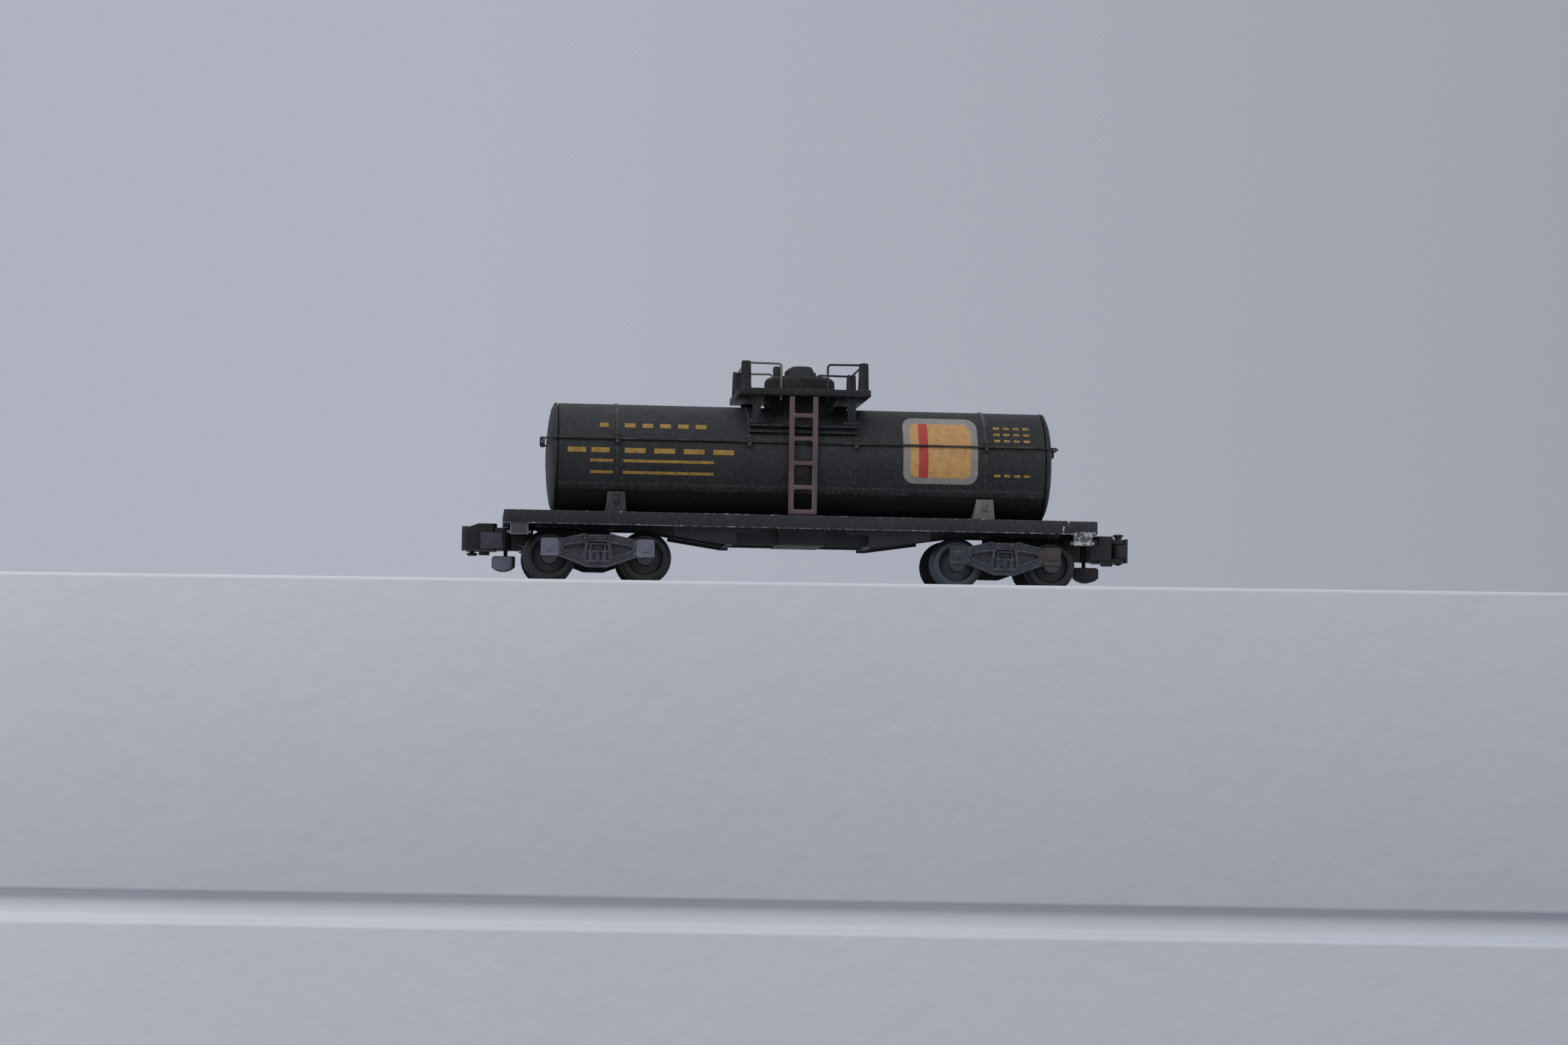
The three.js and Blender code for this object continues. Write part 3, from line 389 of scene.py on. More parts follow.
class Graph:
    """Small wrapper over a node tree, so that a material reads as sums and masks."""

    def __init__(self, name):
        self.material = bpy.data.materials.new(name)
        self.material.use_nodes = True
        self.tree = self.material.node_tree
        self.bsdf = self.tree.nodes["Principled BSDF"]
        self.object_coord = self.new("ShaderNodeTexCoord").outputs["Object"]
        self.normal = self.new("ShaderNodeNewGeometry").outputs["Normal"]

    def new(self, kind, **settings):
        node = self.tree.nodes.new(kind)
        for key, value in settings.items():
            setattr(node, key, value)
        return node

    def feed(self, socket, value):
        if isinstance(value, bpy.types.NodeSocket):
            self.tree.links.new(value, socket)
        else:
            socket.default_value = value

    def math(self, operation, a, b=0.0):
        node = self.new("ShaderNodeMath", operation=operation)
        self.feed(node.inputs[0], a)
        self.feed(node.inputs[1], b)
        return node.outputs[0]

    def step(self, value, low, high):
        """0 below low, 1 above high."""
        node = self.new("ShaderNodeMapRange", interpolation_type="SMOOTHSTEP")
        self.feed(node.inputs["Value"], value)
        node.inputs["From Min"].default_value = low
        node.inputs["From Max"].default_value = high
        return node.outputs["Result"]

    def spread(self, value, low, high):
        """0..1 to low..high."""
        node = self.new("ShaderNodeMapRange")
        self.feed(node.inputs["Value"], value)
        node.inputs["To Min"].default_value = low
        node.inputs["To Max"].default_value = high
        return node.outputs["Result"]

    def noise(self, scale, detail=3.0, rough=0.55, offset=0.0):
        node = self.new("ShaderNodeTexNoise")
        coord = self.object_coord
        if offset:
            mapping = self.new("ShaderNodeMapping")
            self.feed(mapping.inputs["Vector"], coord)
            mapping.inputs["Location"].default_value = (offset, offset * 0.7, offset * 1.3)
            coord = mapping.outputs["Vector"]
        self.feed(node.inputs["Vector"], coord)
        node.inputs["Scale"].default_value = scale
        node.inputs["Detail"].default_value = detail
        node.inputs["Roughness"].default_value = rough
        return node.outputs["Fac"]

    def mix(self, fac, a, b):
        node = self.new("ShaderNodeMix", data_type="RGBA")
        self.feed(node.inputs["Factor"], fac)
        self.feed(node.inputs["A"], a)
        self.feed(node.inputs["B"], b)
        return node.outputs["Result"]

    def lay(self, colour, mask, share, tint):
        """A colour with a tint laid over it where the mask is, at most by share."""
        return self.mix(self.math("MULTIPLY", mask, share), colour, tint)

    def axis(self, index):
        node = self.new("ShaderNodeSeparateXYZ")
        self.feed(node.inputs[0], self.object_coord)
        return node.outputs[index]

    def upward(self, low=0.2, high=0.95):
        node = self.new("ShaderNodeSeparateXYZ")
        self.feed(node.inputs[0], self.normal)
        return self.step(node.outputs[2], low, high)

    def edges(self, radius, low=0.015, high=0.22):
        """A mask of the outer edges, from how far a rounded normal leans."""
        bevel = self.new("ShaderNodeBevel", samples=4)
        bevel.inputs["Radius"].default_value = radius * MM
        dot = self.new("ShaderNodeVectorMath", operation="DOT_PRODUCT")
        self.feed(dot.inputs[0], bevel.outputs["Normal"])
        self.feed(dot.inputs[1], self.normal)
        lean = self.math("SUBTRACT", 1.0, dot.outputs["Value"])
        return self.step(lean, low, high)

    def zone(self, low, high, soft=0.4):
        """1 inside a box given in millimetres, fading out over soft."""
        total = None
        for index in range(3):
            value = self.axis(index)
            inside = self.math(
                "MULTIPLY",
                self.step(value, (low[index] - soft) * MM, (low[index] + soft) * MM),
                self.step(
                    self.math("MULTIPLY", value, -1.0),
                    (-high[index] - soft) * MM, (-high[index] + soft) * MM,
                ),
            )
            total = inside if total is None else self.math("MULTIPLY", total, inside)
        return total

    def over(self, *masks):
        total = masks[0]
        for mask in masks[1:]:
            total = self.math("MAXIMUM", total, mask)
        return total

    def times(self, *masks):
        total = masks[0]
        for mask in masks[1:]:
            total = self.math("MULTIPLY", total, mask)
        return total

    def finish(self, colour, rough, bump=None, bump_mm=0.05, metallic=None):
        self.feed(self.bsdf.inputs["Base Color"], colour)
        self.feed(self.bsdf.inputs["Roughness"], rough)
        if metallic is not None:
            self.feed(self.bsdf.inputs["Metallic"], metallic)
        if bump is not None:
            node = self.new("ShaderNodeBump")
            node.inputs["Strength"].default_value = 1.0
            node.inputs["Distance"].default_value = bump_mm * MM
            self.feed(node.inputs["Height"], bump)
            self.tree.links.new(node.outputs["Normal"], self.bsdf.inputs["Normal"])
        return self.material


def weathered(
    name, base, shade, dust, worn, dust_share=0.5, worn_share=0.6, edge=0.3,
    rough=(0.5, 0.75), bump_mm=0.03, zones=(), chips=None, metallic=None,
    patches=(), rim=None,
):
    """Painted or moulded surface: blotches, settled dust, rubbed edges and chips; optionally a painted sheen
    ring on a wheel face, and laid-over patches of colour, some of them painted shade.
    """
    base, shade, dust, worn = (tone(*rgb) for rgb in (base, shade, dust, worn))
    g = Graph(name)
    broad = g.noise(70, 4)
    fine = g.noise(900, 4, 0.6, offset=3.1)
    speck = g.noise(2600, 2, 0.7, offset=7.7)
    colour = g.mix(g.step(broad, 0.3, 0.72), base, shade)
    colour = g.lay(colour, g.step(fine, 0.45, 0.8), 0.35, dust)
    settle = g.times(g.upward(), g.step(g.noise(240, 4, 0.6, offset=11.0), 0.25, 0.75))
    colour = g.lay(colour, settle, dust_share, dust)
    rub = g.times(g.edges(edge), g.step(g.noise(420, 4, 0.65, offset=5.0), 0.38, 0.66))
    colour = g.lay(colour, rub, worn_share, worn)
    dots = g.step(g.noise(1500, 1, 0.5, offset=21.0), 0.74, 0.79)
    colour = g.lay(colour, dots, 0.55, dust)
    if rim:
        # Painted sheen: a lighter ring on the wheel's face that stands in for light reflected there.
        across = g.math("POWER", g.math("SUBTRACT", g.axis(0), rim["x"] * MM), 2.0)
        upwards = g.math("POWER", g.math("SUBTRACT", g.axis(2), rim["z"] * MM), 2.0)
        radius = g.math("SQRT", g.math("ADD", across, upwards))
        band = g.times(
            g.step(radius, 5.1 * MM, 5.4 * MM), g.step(g.math("MULTIPLY", radius, -1.0), -7.5 * MM, -7.2 * MM)
        )
        sheen = g.times(band, g.spread(g.noise(260, 4, 0.6, offset=61.0), 0.35, 1.0))
        colour = g.lay(colour, sheen, rim["share"], rim["tint"])
    # Patches of colour laid over a box; several of them are painted shade.
    for low, high, laid_colour, share, soft in patches:
        mask = g.times(g.zone(low, high, soft), g.spread(g.noise(380, 4, 0.6, offset=51.0), 0.55, 1.0))
        colour = g.lay(colour, mask, share, laid_colour)
    metal_mask = None
    if chips:
        masks = [g.times(g.zone(*z[:2]), g.math("MULTIPLY", g.edges(0.5, 0.02, 0.1), z[2])) for z in zones]
        masks += [g.times(g.zone(*z[:2]), z[3]) for z in zones if len(z) > 3]
        near = g.over(*masks)
        # Flakes need a lower threshold where the zone says the paint is thin.
        level = g.math("ADD", g.noise(chips["scale"], 5, 0.62, offset=41.0), g.math("MULTIPLY", near, 0.32))
        metal_mask = g.step(level, chips["low"], chips["low"] + 0.03)
        bare = g.mix(g.noise(1800, 3), chips["metal"], chips["dull"])
        colour = g.mix(metal_mask, colour, bare)
    roughness = g.spread(g.noise(330, 3, offset=2.0), *rough)
    height = g.math("ADD", g.math("MULTIPLY", speck, 0.5), g.math("MULTIPLY", fine, 0.5))
    if metal_mask is not None:
        height = g.math("SUBTRACT", height, g.math("MULTIPLY", metal_mask, 0.8))
    if metallic is not None:
        g.bsdf.inputs["Metallic"].default_value = metallic
    return g.finish(colour, roughness, height, bump_mm)


TANK = weathered(
    "tank_black", (34, 35, 38), (42, 43, 47), (96, 97, 100), (120, 121, 124),
    dust_share=0.2, worn_share=0.28, rough=(0.5, 0.7), bump_mm=0.025,
    # Painted shade: the top of the tank darker towards its right end, away from the light.
    patches=(((2, -20, 46), (80, 20, 58), tone(19, 20, 22), 0.75, 7.0),),
)
STRAP = weathered(
    "strap_black", (34, 36, 38), (46, 48, 50), (120, 121, 120), (150, 150, 148),
    dust_share=0.4, worn_share=0.6, rough=(0.45, 0.65),
)
DOME = weathered(
    "dome_black", (24, 26, 30), (31, 33, 38), (96, 99, 104), (122, 124, 130),
    dust_share=0.24, worn_share=0.55, rough=(0.55, 0.78),
)
DOME_DARK = weathered(
    "dome_dark", (15, 17, 20), (21, 23, 27), (86, 90, 92), (112, 116, 118),
    dust_share=0.2, worn_share=0.45, rough=(0.6, 0.8),
)
CASTING = weathered(
    "frame_paint", (32, 34, 41), (41, 43, 50), (92, 94, 100), (124, 126, 132),
    dust_share=0.4, worn_share=0.55, rough=(0.42, 0.66),
    chips={"scale": 620, "low": 0.72, "metal": tone(220, 220, 216), "dull": tone(156, 158, 160)},
    zones=(
        # low corner, high corner, share on edges, share all over
        ((-90, -20, 16.6), (90, 20, 18.0), 0.8),
        ((-90, -20, 17.0), (90, -18.4, 17.6), 0.8, 0.44),
        ((-90, 18.4, 17.0), (90, 20, 17.6), 0.8, 0.44),
        ((-90, -20, 21.0), (90, -18.6, 21.6), 0.5, 0.34),
        ((-90, 18.6, 21.0), (90, 20, 21.6), 0.5, 0.34),
        ((-90, -20, 20.4), (90, 20, 22.0), 0.55),
        ((-89, -20, 13.5), (-80, -14, 17.8), 1.05, 0.1),
        ((80.5, -20, 13.5), (88.5, -14, 18.2), 1.1, 0.72),
        ((78, -20, 17.0), (90, -17, 22.0), 0.9, 0.24),
        ((86.5, -20, 16.8), (90, 20, 22.0), 0.7, 0.15),
    ),
    patches=(
        # low corner, high corner, colour laid over, share, softness
        # Painted shade under the frame and along the belly.
        ((-95, -15.6, 10.0), (95, 15.6, 19.6), tone(16, 17, 19), 0.7, 0.5),
        ((-60, -17.2, 10.0), (60, 17.2, 17.1), tone(20, 21, 25), 0.55, 0.4),
        ((-88.5, -19.5, 13.5), (-81, -17.3, 17.2), tone(98, 99, 108), 0.75, 0.5),
        # Painted shade: the deck darker towards the right end, away from the light.
        ((30, -19.5, 17.0), (80, 19.5, 22.0), tone(26, 27, 33), 0.45, 20.0),
        ((81, -19.5, 13.5), (88.2, -17.3, 17.6), tone(120, 123, 130), 0.62, 0.6),
    ),
)
TRUCK_CASTING = weathered(
    "truck_frame_paint", (34, 36, 44), (42, 44, 52), (84, 86, 92), (104, 106, 112),
    edge=0.25, rough=(0.5, 0.72),
)
SADDLE = weathered(
    "saddle_grey", (58, 60, 64), (76, 77, 79), (128, 128, 128), (166, 166, 162),
    worn_share=0.8, edge=0.35, rough=(0.6, 0.85), bump_mm=0.04,
)
SADDLE_DUSTY = weathered(
    "saddle_dusty", (112, 112, 111), (132, 130, 125), (136, 134, 130), (176, 174, 168),
    dust_share=0.6, worn_share=0.9, edge=0.4, rough=(0.6, 0.85), bump_mm=0.04,
)
STRAP_BARE = weathered(
    "strap_bare", (120, 119, 114), (92, 92, 90), (168, 166, 160), (206, 204, 196),
    worn_share=0.85, rough=(0.45, 0.7),
)
LADDER = weathered(
    "ladder_plastic", (94, 78, 85), (108, 90, 96), (138, 124, 128), (154, 136, 140),
    dust_share=0.35, worn_share=0.5, edge=0.22, rough=(0.45, 0.68), bump_mm=0.02,
)
WHEEL = weathered(
    "wheel_black", (24, 25, 28), (31, 32, 35), (66, 68, 74), (74, 77, 84),
    dust_share=0.2, worn_share=0.2, rough=(0.42, 0.62), bump_mm=0.02,
)
# A lit copy of the wheel black: lighter, bluer and glossier, with a painted sheen ring on the rim face;
# painted light for the one wheel that catches it.
WHEEL_PAINTED_SHEEN = weathered(
    "wheel_blued", (42, 46, 51), (50, 54, 60), (66, 68, 74), (74, 77, 84),
    dust_share=0.2, worn_share=0.2, rough=(0.36, 0.55), bump_mm=0.02,
    rim={"x": TRUCK_X - AXLE_X, "z": AXLE_Z, "share": 0.85, "tint": tone(72, 82, 96)},
)
COUPLER = weathered(
    "coupler_black", (21, 21, 25), (28, 28, 33), (62, 62, 70), (92, 92, 100),
    dust_share=0.3, worn_share=0.5, rough=(0.45, 0.66),
)
COUPLER_DUSTY = weathered(
    "coupler_dusty", (62, 63, 76), (76, 77, 90), (118, 119, 130), (140, 141, 150),
    worn_share=0.7, rough=(0.55, 0.78),
)
KNUCKLE_WORN = weathered(
    "knuckle_worn", (30, 31, 37), (40, 41, 49), (100, 102, 112), (170, 172, 182),
    dust_share=0.3, worn_share=0.9, edge=0.35, rough=(0.45, 0.66),
)
WEIGHT_GREY = weathered(
    "weight_grey", (98, 102, 116), (110, 114, 127), (132, 134, 144), (150, 152, 160),
    worn_share=0.6, rough=(0.55, 0.78),
)
STEEL = weathered(
    "plain_steel_worn", (120, 122, 126), (96, 98, 102), (84, 82, 78), (180, 182, 186),
    edge=0.25, rough=(0.3, 0.5), bump_mm=0.01, metallic=0.9,
)


def sideframe_material(
    name, box_tone, box_share, plate=(tone(48, 49, 57), tone(60, 61, 71)), edge_share=0.75, rust_x=None,
):
    """Grey moulding whose raised rims are lighter with dust and painted highlight, with painted shade on
    faces set back from the outer face; one journal box can be rubbed with rust.
    """
    g = Graph(name)
    broad = g.noise(180, 4)
    fine = g.noise(1400, 4, 0.6, offset=3.0)
    colour = g.mix(g.step(broad, 0.3, 0.7), *plate)
    y = g.math("ABSOLUTE", g.axis(1))
    # Painted shade: faces set back inside the outer face, a little darker.
    deep = g.step(g.math("MULTIPLY", y, -1.0), -16.0 * MM, -15.7 * MM)
    colour = g.lay(colour, deep, 0.12, tone(38, 39, 46))
    from_centre = g.math("ABSOLUTE", g.math("SUBTRACT", g.math("ABSOLUTE", g.axis(0)), TRUCK_X * MM))
    box_zone = g.times(
        g.step(y, 16.5 * MM, 16.9 * MM),
        g.step(from_centre, 11.0 * MM, 11.6 * MM),
        g.step(g.axis(2), 7.6 * MM, 8.2 * MM),
    )
    colour = g.lay(colour, box_zone, box_share, box_tone)
    # Edges and raised rims lighter: dust, and painted highlight where the rims catch the light.
    rub = g.times(g.edges(0.26, 0.008, 0.14), g.step(g.noise(520, 4, 0.6, offset=5.0), 0.26, 0.56))
    colour = g.lay(colour, rub, edge_share, tone(138, 140, 154))
    worn = g.times(g.edges(0.3, 0.02, 0.2), g.step(g.noise(900, 3, 0.6, offset=15.0), 0.58, 0.66))
    colour = g.lay(colour, worn, 0.7, tone(196, 198, 204))
    dust = g.times(g.upward(0.2, 0.9), g.step(g.noise(300, 3, offset=9.0), 0.3, 0.7))
    colour = g.lay(colour, dust, 0.35, tone(122, 123, 132))
    top = g.times(
        g.zone((-200, -30, 13.9), (200, 30, 15.4), 0.3), g.step(g.noise(260, 3, offset=13.0), 0.46, 0.62)
    )
    colour = g.lay(colour, top, 0.6, tone(98, 68, 58))
    if rust_x is not None:
        spot = g.times(
            g.zone((rust_x - 3.6, -30, 5.2), (rust_x + 3.6, 0, 13.6), 1.2),
            g.step(g.noise(330, 5, 0.65, offset=17.0), 0.26, 0.55),
        )
        colour = g.lay(colour, spot, 0.78, tone(80, 66, 60))
    grain = g.math("MULTIPLY", g.noise(4200, 2, offset=1.0), 0.4)
    height = g.math("ADD", g.math("MULTIPLY", fine, 0.6), grain)
    return g.finish(colour, g.spread(g.noise(400, 3), 0.5, 0.74), height, 0.035)


SIDEFRAME = sideframe_material("sideframe_grey", tone(124, 125, 144), 0.75)
SIDEFRAME_RUSTY = sideframe_material(
    "sideframe_rusty", tone(58, 59, 66), 0.4, (tone(46, 49, 58), tone(58, 62, 72)), 0.6,
    rust_x=TRUCK_X + AXLE_X,
)


def wire_material(name, dark, bright, share):
    """Blackened wire that is rubbed bright in places."""
    g = Graph(name)
    worn = g.step(g.noise(160, 4, 0.6, offset=2.0), 0.62 - share * 0.5, 0.72 - share * 0.5)
    fleck = g.step(g.noise(1700, 3, 0.6, offset=9.0), 0.55, 0.7)
    colour = g.mix(worn, dark, bright)
    colour = g.lay(colour, fleck, 0.35, tone(90, 88, 84))
    metal = g.spread(worn, 0.25, 0.9)
    return g.finish(colour, g.spread(g.noise(700, 3), 0.34, 0.56), g.noise(2400, 3), 0.015, metallic=metal)


WIRE_DARK = wire_material("wire_dark", tone(46, 46, 48), tone(96, 92, 86), 0.25)
WIRE_BRASS = wire_material("wire_brass", tone(92, 88, 80), tone(152, 144, 130), 0.7)


def print_material(name, ink, ink_dark, loss):
    """Ink on the tank: mottled, rubbed thin in small spots."""
    g = Graph(name)
    colour = g.mix(g.step(g.noise(500, 4, 0.6), 0.3, 0.7), ink, ink_dark)
    colour = g.lay(colour, g.step(g.noise(2600, 3, 0.6, offset=4.0), 0.5, 0.7), 0.3, tone(96, 84, 50))
    gone = g.step(g.noise(1300, 5, 0.7, offset=8.0), 1 - loss, 1.03 - loss)
    colour = g.mix(gone, colour, tone(44, 45, 45))
    roughness = g.spread(g.noise(800, 2), 0.47, 0.65)
    return g.finish(colour, roughness, g.noise(2600, 3, offset=6.0), 0.012)


GOLD = print_material("gold_ink", tone(190, 150, 72), tone(164, 128, 62), 0.38)
GOLD_FAINT = print_material("gold_ink_faint", tone(196, 160, 74), tone(150, 126, 66), 0.42)
LABEL_GREY = print_material("label_grey", tone(164, 159, 154), tone(146, 142, 138), 0.3)
LABEL_CREAM = print_material("label_cream", tone(222, 176, 112), tone(204, 156, 98), 0.28)
LABEL_RED = print_material("label_red", tone(206, 76, 72), tone(186, 66, 62), 0.3)

# ---------------------------------------------------------------- frame

frame_bm = soften(cad_copy("frame_casting"), 0.16, 2, 30)
piece("frame_body", frame_bm, CASTING, "frame_casting", smooth=50)

# ---------------------------------------------------------------- tank

inner_r = TANK_R - WALL
barrel = lathe([
    (inner_r, -SHELL_X), (TANK_R - 0.15, -SHELL_X), (TANK_R, -SHELL_X + 0.15),
    (TANK_R, -50), (TANK_R, 0), (TANK_R, 50),
    (TANK_R, SHELL_X - 0.15), (TANK_R - 0.15, SHELL_X), (inner_r, SHELL_X), (inner_r, -SHELL_X),
], 144, "X", (0, 0, TANK_Z))
piece("tank_barrel", barrel, TANK, "tank_shell")


def angle_at(z):
    return math.asin((z - TANK_Z) / TANK_R)


LOW_END = angle_at(26.8)
GAP_LOW = angle_at(RAIL_Z - 2.1)
GAP_HIGH = angle_at(RAIL_Z + 2.1)
spans = [
    (LOW_END, GAP_LOW),
    (GAP_HIGH, math.pi - GAP_HIGH),
    (math.pi - GAP_LOW, math.pi - LOW_END),
]
for label, x in (("left", STRAP_X[0]), ("right", STRAP_X[1])):
    bands = [arc_band(x, STRAP_HALF_WIDTH, STRAP_HEIGHT, a, b) for a, b in spans]
    piece(f"tank_strap_{label}", joined(bands), STRAP, None, smooth=60)
for number, x in enumerate(SEAM_X, 1):
    bands = [arc_band(x, SEAM_HALF_WIDTH, SEAM_HEIGHT, a, b) for a, b in spans]
    piece(f"tank_seam_{number}", joined(bands), STRAP, None, smooth=60)

# Lap strips low on each side, and a short raised mark near each end of the barrel.
LAP = (-0.69, -0.51)
for label, turn in (("near", 0), ("far", 1)):
    lap_steps = 8
    outline = [
        on_tank(LAP[0] + (LAP[1] - LAP[0]) * i / lap_steps, TANK_R + (0.22 if 0 < i < lap_steps else 0.05), 0)
        for i in range(lap_steps + 1)
    ]
    outline += [
        on_tank(LAP[1] + (LAP[0] - LAP[1]) * i / lap_steps, TANK_R - 0.4, 0) for i in range(lap_steps + 1)
    ]
    strip = prism([(p.y, p.z) for p in outline], -SHELL_X + 0.05, SHELL_X - 0.05, "YZ")
    if turn:
        half_turn(strip)
    piece(f"tank_lap_{label}", strip, STRAP, None, smooth=30)
marks = [
    arc_band(x, 0.2, 0.1, angle_at(32.2), angle_at(38.0)) for x in (-71.4, 70.7)
]
piece("tank_end_marks", joined(marks), TANK, None, smooth=60)

for label, side in (("left", -1), ("right", 1)):
    low, high = box_mm(f"tank_end_{label}")
    rim = (low.x if side > 0 else -high.x) + 1.8
    face = (high.x if side > 0 else -low.x)
    spigot = TANK_R - WALL - 0.3
    profile = [
        (0, rim + 1.0), (spigot - 1.2, rim - 1.8), (spigot, rim - 1.8), (spigot, rim),
        (TANK_R, rim), (TANK_R + 0.1, rim + 0.12), (TANK_R + 0.1, rim + 0.62),
        (TANK_R - 0.05, rim + 0.85), (TANK_R - 0.5, rim + 1.02), (15.3, rim + 1.45), (14.5, rim + 1.8),
        (14.2, rim + 1.78), (13.8, rim + 1.92), (12.0, rim + 2.25), (9.5, rim + 2.6), (6.0, rim + 2.93),
        (2.8, face - 0.06), (0, face),
    ]
    end = lathe([(r, side * x) for r, x in profile], 144, "X", (0, 0, TANK_Z))
    piece(
        f"tank_head_{label}", end, TANK, f"tank_end_{label}", smooth=32
    )

for label, x in (("left", STRAP_X[0]), ("right", STRAP_X[1])):
    cheeks = prism(
        [(x - 3.1, 21.6), (x + 3.1, 21.6), (x + 2.5, 27.5), (x - 2.5, 27.5)], -14.4, 14.4, "XZ"
    )
    bore = lathe(
        [(0, x - 5), (TANK_R + 0.65, x - 5), (TANK_R + 0.65, x + 5), (0, x + 5)], 144, "X", (0, 0, TANK_Z)
    )
    web = block(x - 2.1, x + 2.1, -14.3, 14.3, 20.9, 21.9)
    saddle_material = SADDLE if label == "left" else SADDLE_DUSTY
    saddle = joined([soften(boolean(cheeks, bore), 0.16, 2, 25), web])
    piece(
        f"saddle_body_{label}", saddle, saddle_material,
        f"tank_saddle_{label}", smooth=45,
    )
    tips = [
        soften(prism(rounded([
            (x - 0.72, side * 14.2), (x + 0.72, side * 14.2), (x + 0.72, side * 14.85),
            (x + 0.3, side * 15.0), (x - 0.3, side * 15.0), (x - 0.72, side * 14.85),
        ], 0.1, 2), 24.1, 27.4), 0.16, 3, 35)
        for side in (-1, 1)
    ]
    tip_material = STRAP if label == "left" else STRAP_BARE
    piece(f"strap_tip_{label}", joined(tips), tip_material, None, smooth=45)
    screw_node = f"tank_screw_{label}"
    at = centre_mm(screw_node)
    base = box_mm(screw_node)[0].z
    screw = lathe([
        (0, base), (1.6, base), (2.1, base + 0.2), (2.4, base + 0.5), (2.4, base + 1.2), (1.0, base + 1.3),
        (1.0, 24.0), (0.5, 24.8), (0, 25.0),
    ], 32, "Z", (at.x, 0, 0))
    slot_cut = block(at.x - 3, at.x + 3, -0.3, 0.3, base - 1, base + 0.55)
    piece(f"screw_body_{label}", boolean(screw, slot_cut), STEEL, screw_node)

# ---------------------------------------------------------------- dome, lid and valve

DOME_R = (box_mm("dome")[1].x - box_mm("dome")[0].x) / 2
DOME_TOP = box_mm("dome_lid")[0].z - 0.25
neck = box_mm("dome")[1].z
seat_z = 50.5
dome = lathe([
    (DOME_R - 1.3, seat_z), (DOME_R, seat_z), (DOME_R, DOME_TOP - 2.0), (DOME_R - 0.1, DOME_TOP - 1.4),
    (DOME_R - 0.4, DOME_TOP - 0.85), (DOME_R - 0.85, DOME_TOP - 0.45), (DOME_R - 1.5, DOME_TOP - 0.2),
    (DOME_R - 1.9, DOME_TOP - 0.17), (DOME_R - 2.1, DOME_TOP - 0.22), (5.9, DOME_TOP - 0.05), (0, DOME_TOP),
    (0, DOME_TOP - 2.0), (DOME_R - 1.3, DOME_TOP - 2.4), (DOME_R - 1.3, seat_z),
], 96)
lid_x = 0.5
neck_ring = lathe([
    (0, DOME_TOP - 0.5), (3.6, DOME_TOP - 0.5), (3.6, neck), (0, neck),
], 48, "Z", (lid_x, 0, 0))
piece("dome_body", joined([dome, neck_ring]), DOME_DARK, "dome", smooth=34)

base = DOME_TOP + 0.25
lid_top = box_mm("dome_lid")[1].z
cap = lathe([
    (0, base), (4.6, base), (4.65, base + 0.08), (4.62, base + 0.55), (4.5, base + 0.72), (4.2, base + 0.8),
    (4.12, base + 1.0), (3.32, lid_top - 0.45), (3.2, lid_top - 0.22), (3.0, lid_top - 0.1),
    (2.2, lid_top - 0.04), (0, lid_top),
], 64, "Z", (lid_x, 0, 0))
lid_parts = [
    cap,
    soften(block(lid_x - 5.0, lid_x - 3.1, -1.5, 1.5, base, 66.2), 0.2, 2),
    soften(block(lid_x - 4.0, lid_x - 2.6, -1.0, 1.0, base + 0.5, 67.2), 0.2, 2),
    lathe([
        (0, -1.75), (0.5, -1.75), (0.62, -1.6), (0.62, 1.6), (0.5, 1.75), (0, 1.75),
    ], 18, "Y", (lid_x - 4.35, 0, 66.0)),
    soften(block(lid_x + 2.7, lid_x + 4.45, -0.6, 0.6, base + 0.3, 66.1), 0.18, 2),
]
for i in range(6):
    a = 2 * math.pi * i / 6
    lid_parts.append(lathe([
        (0, base + 0.3), (0.34, base + 0.3), (0.34, base + 0.95), (0.2, base + 1.08), (0, base + 1.1),
    ], 6, "Z", (lid_x + 4.15 * math.cos(a + 0.5), 4.15 * math.sin(a + 0.5), 0)))
piece("lid_body", joined(lid_parts), DOME, "dome_lid", smooth=34)

valve_at = centre_mm("safety_valve")
vz = box_mm("safety_valve")[1].z
valve = lathe([
    (0, DOME_TOP - 1.4), (0.6, DOME_TOP - 1.4), (0.6, DOME_TOP + 0.1), (1.35, DOME_TOP + 0.1),
    (1.36, vz - 0.55), (1.26, vz - 0.28), (1.0, vz - 0.1), (0.6, vz - 0.02), (0, vz),
], 32, "Z", (valve_at.x, 0, 0))
piece("valve_body", valve, DOME, "safety_valve")

# ---------------------------------------------------------------- platform

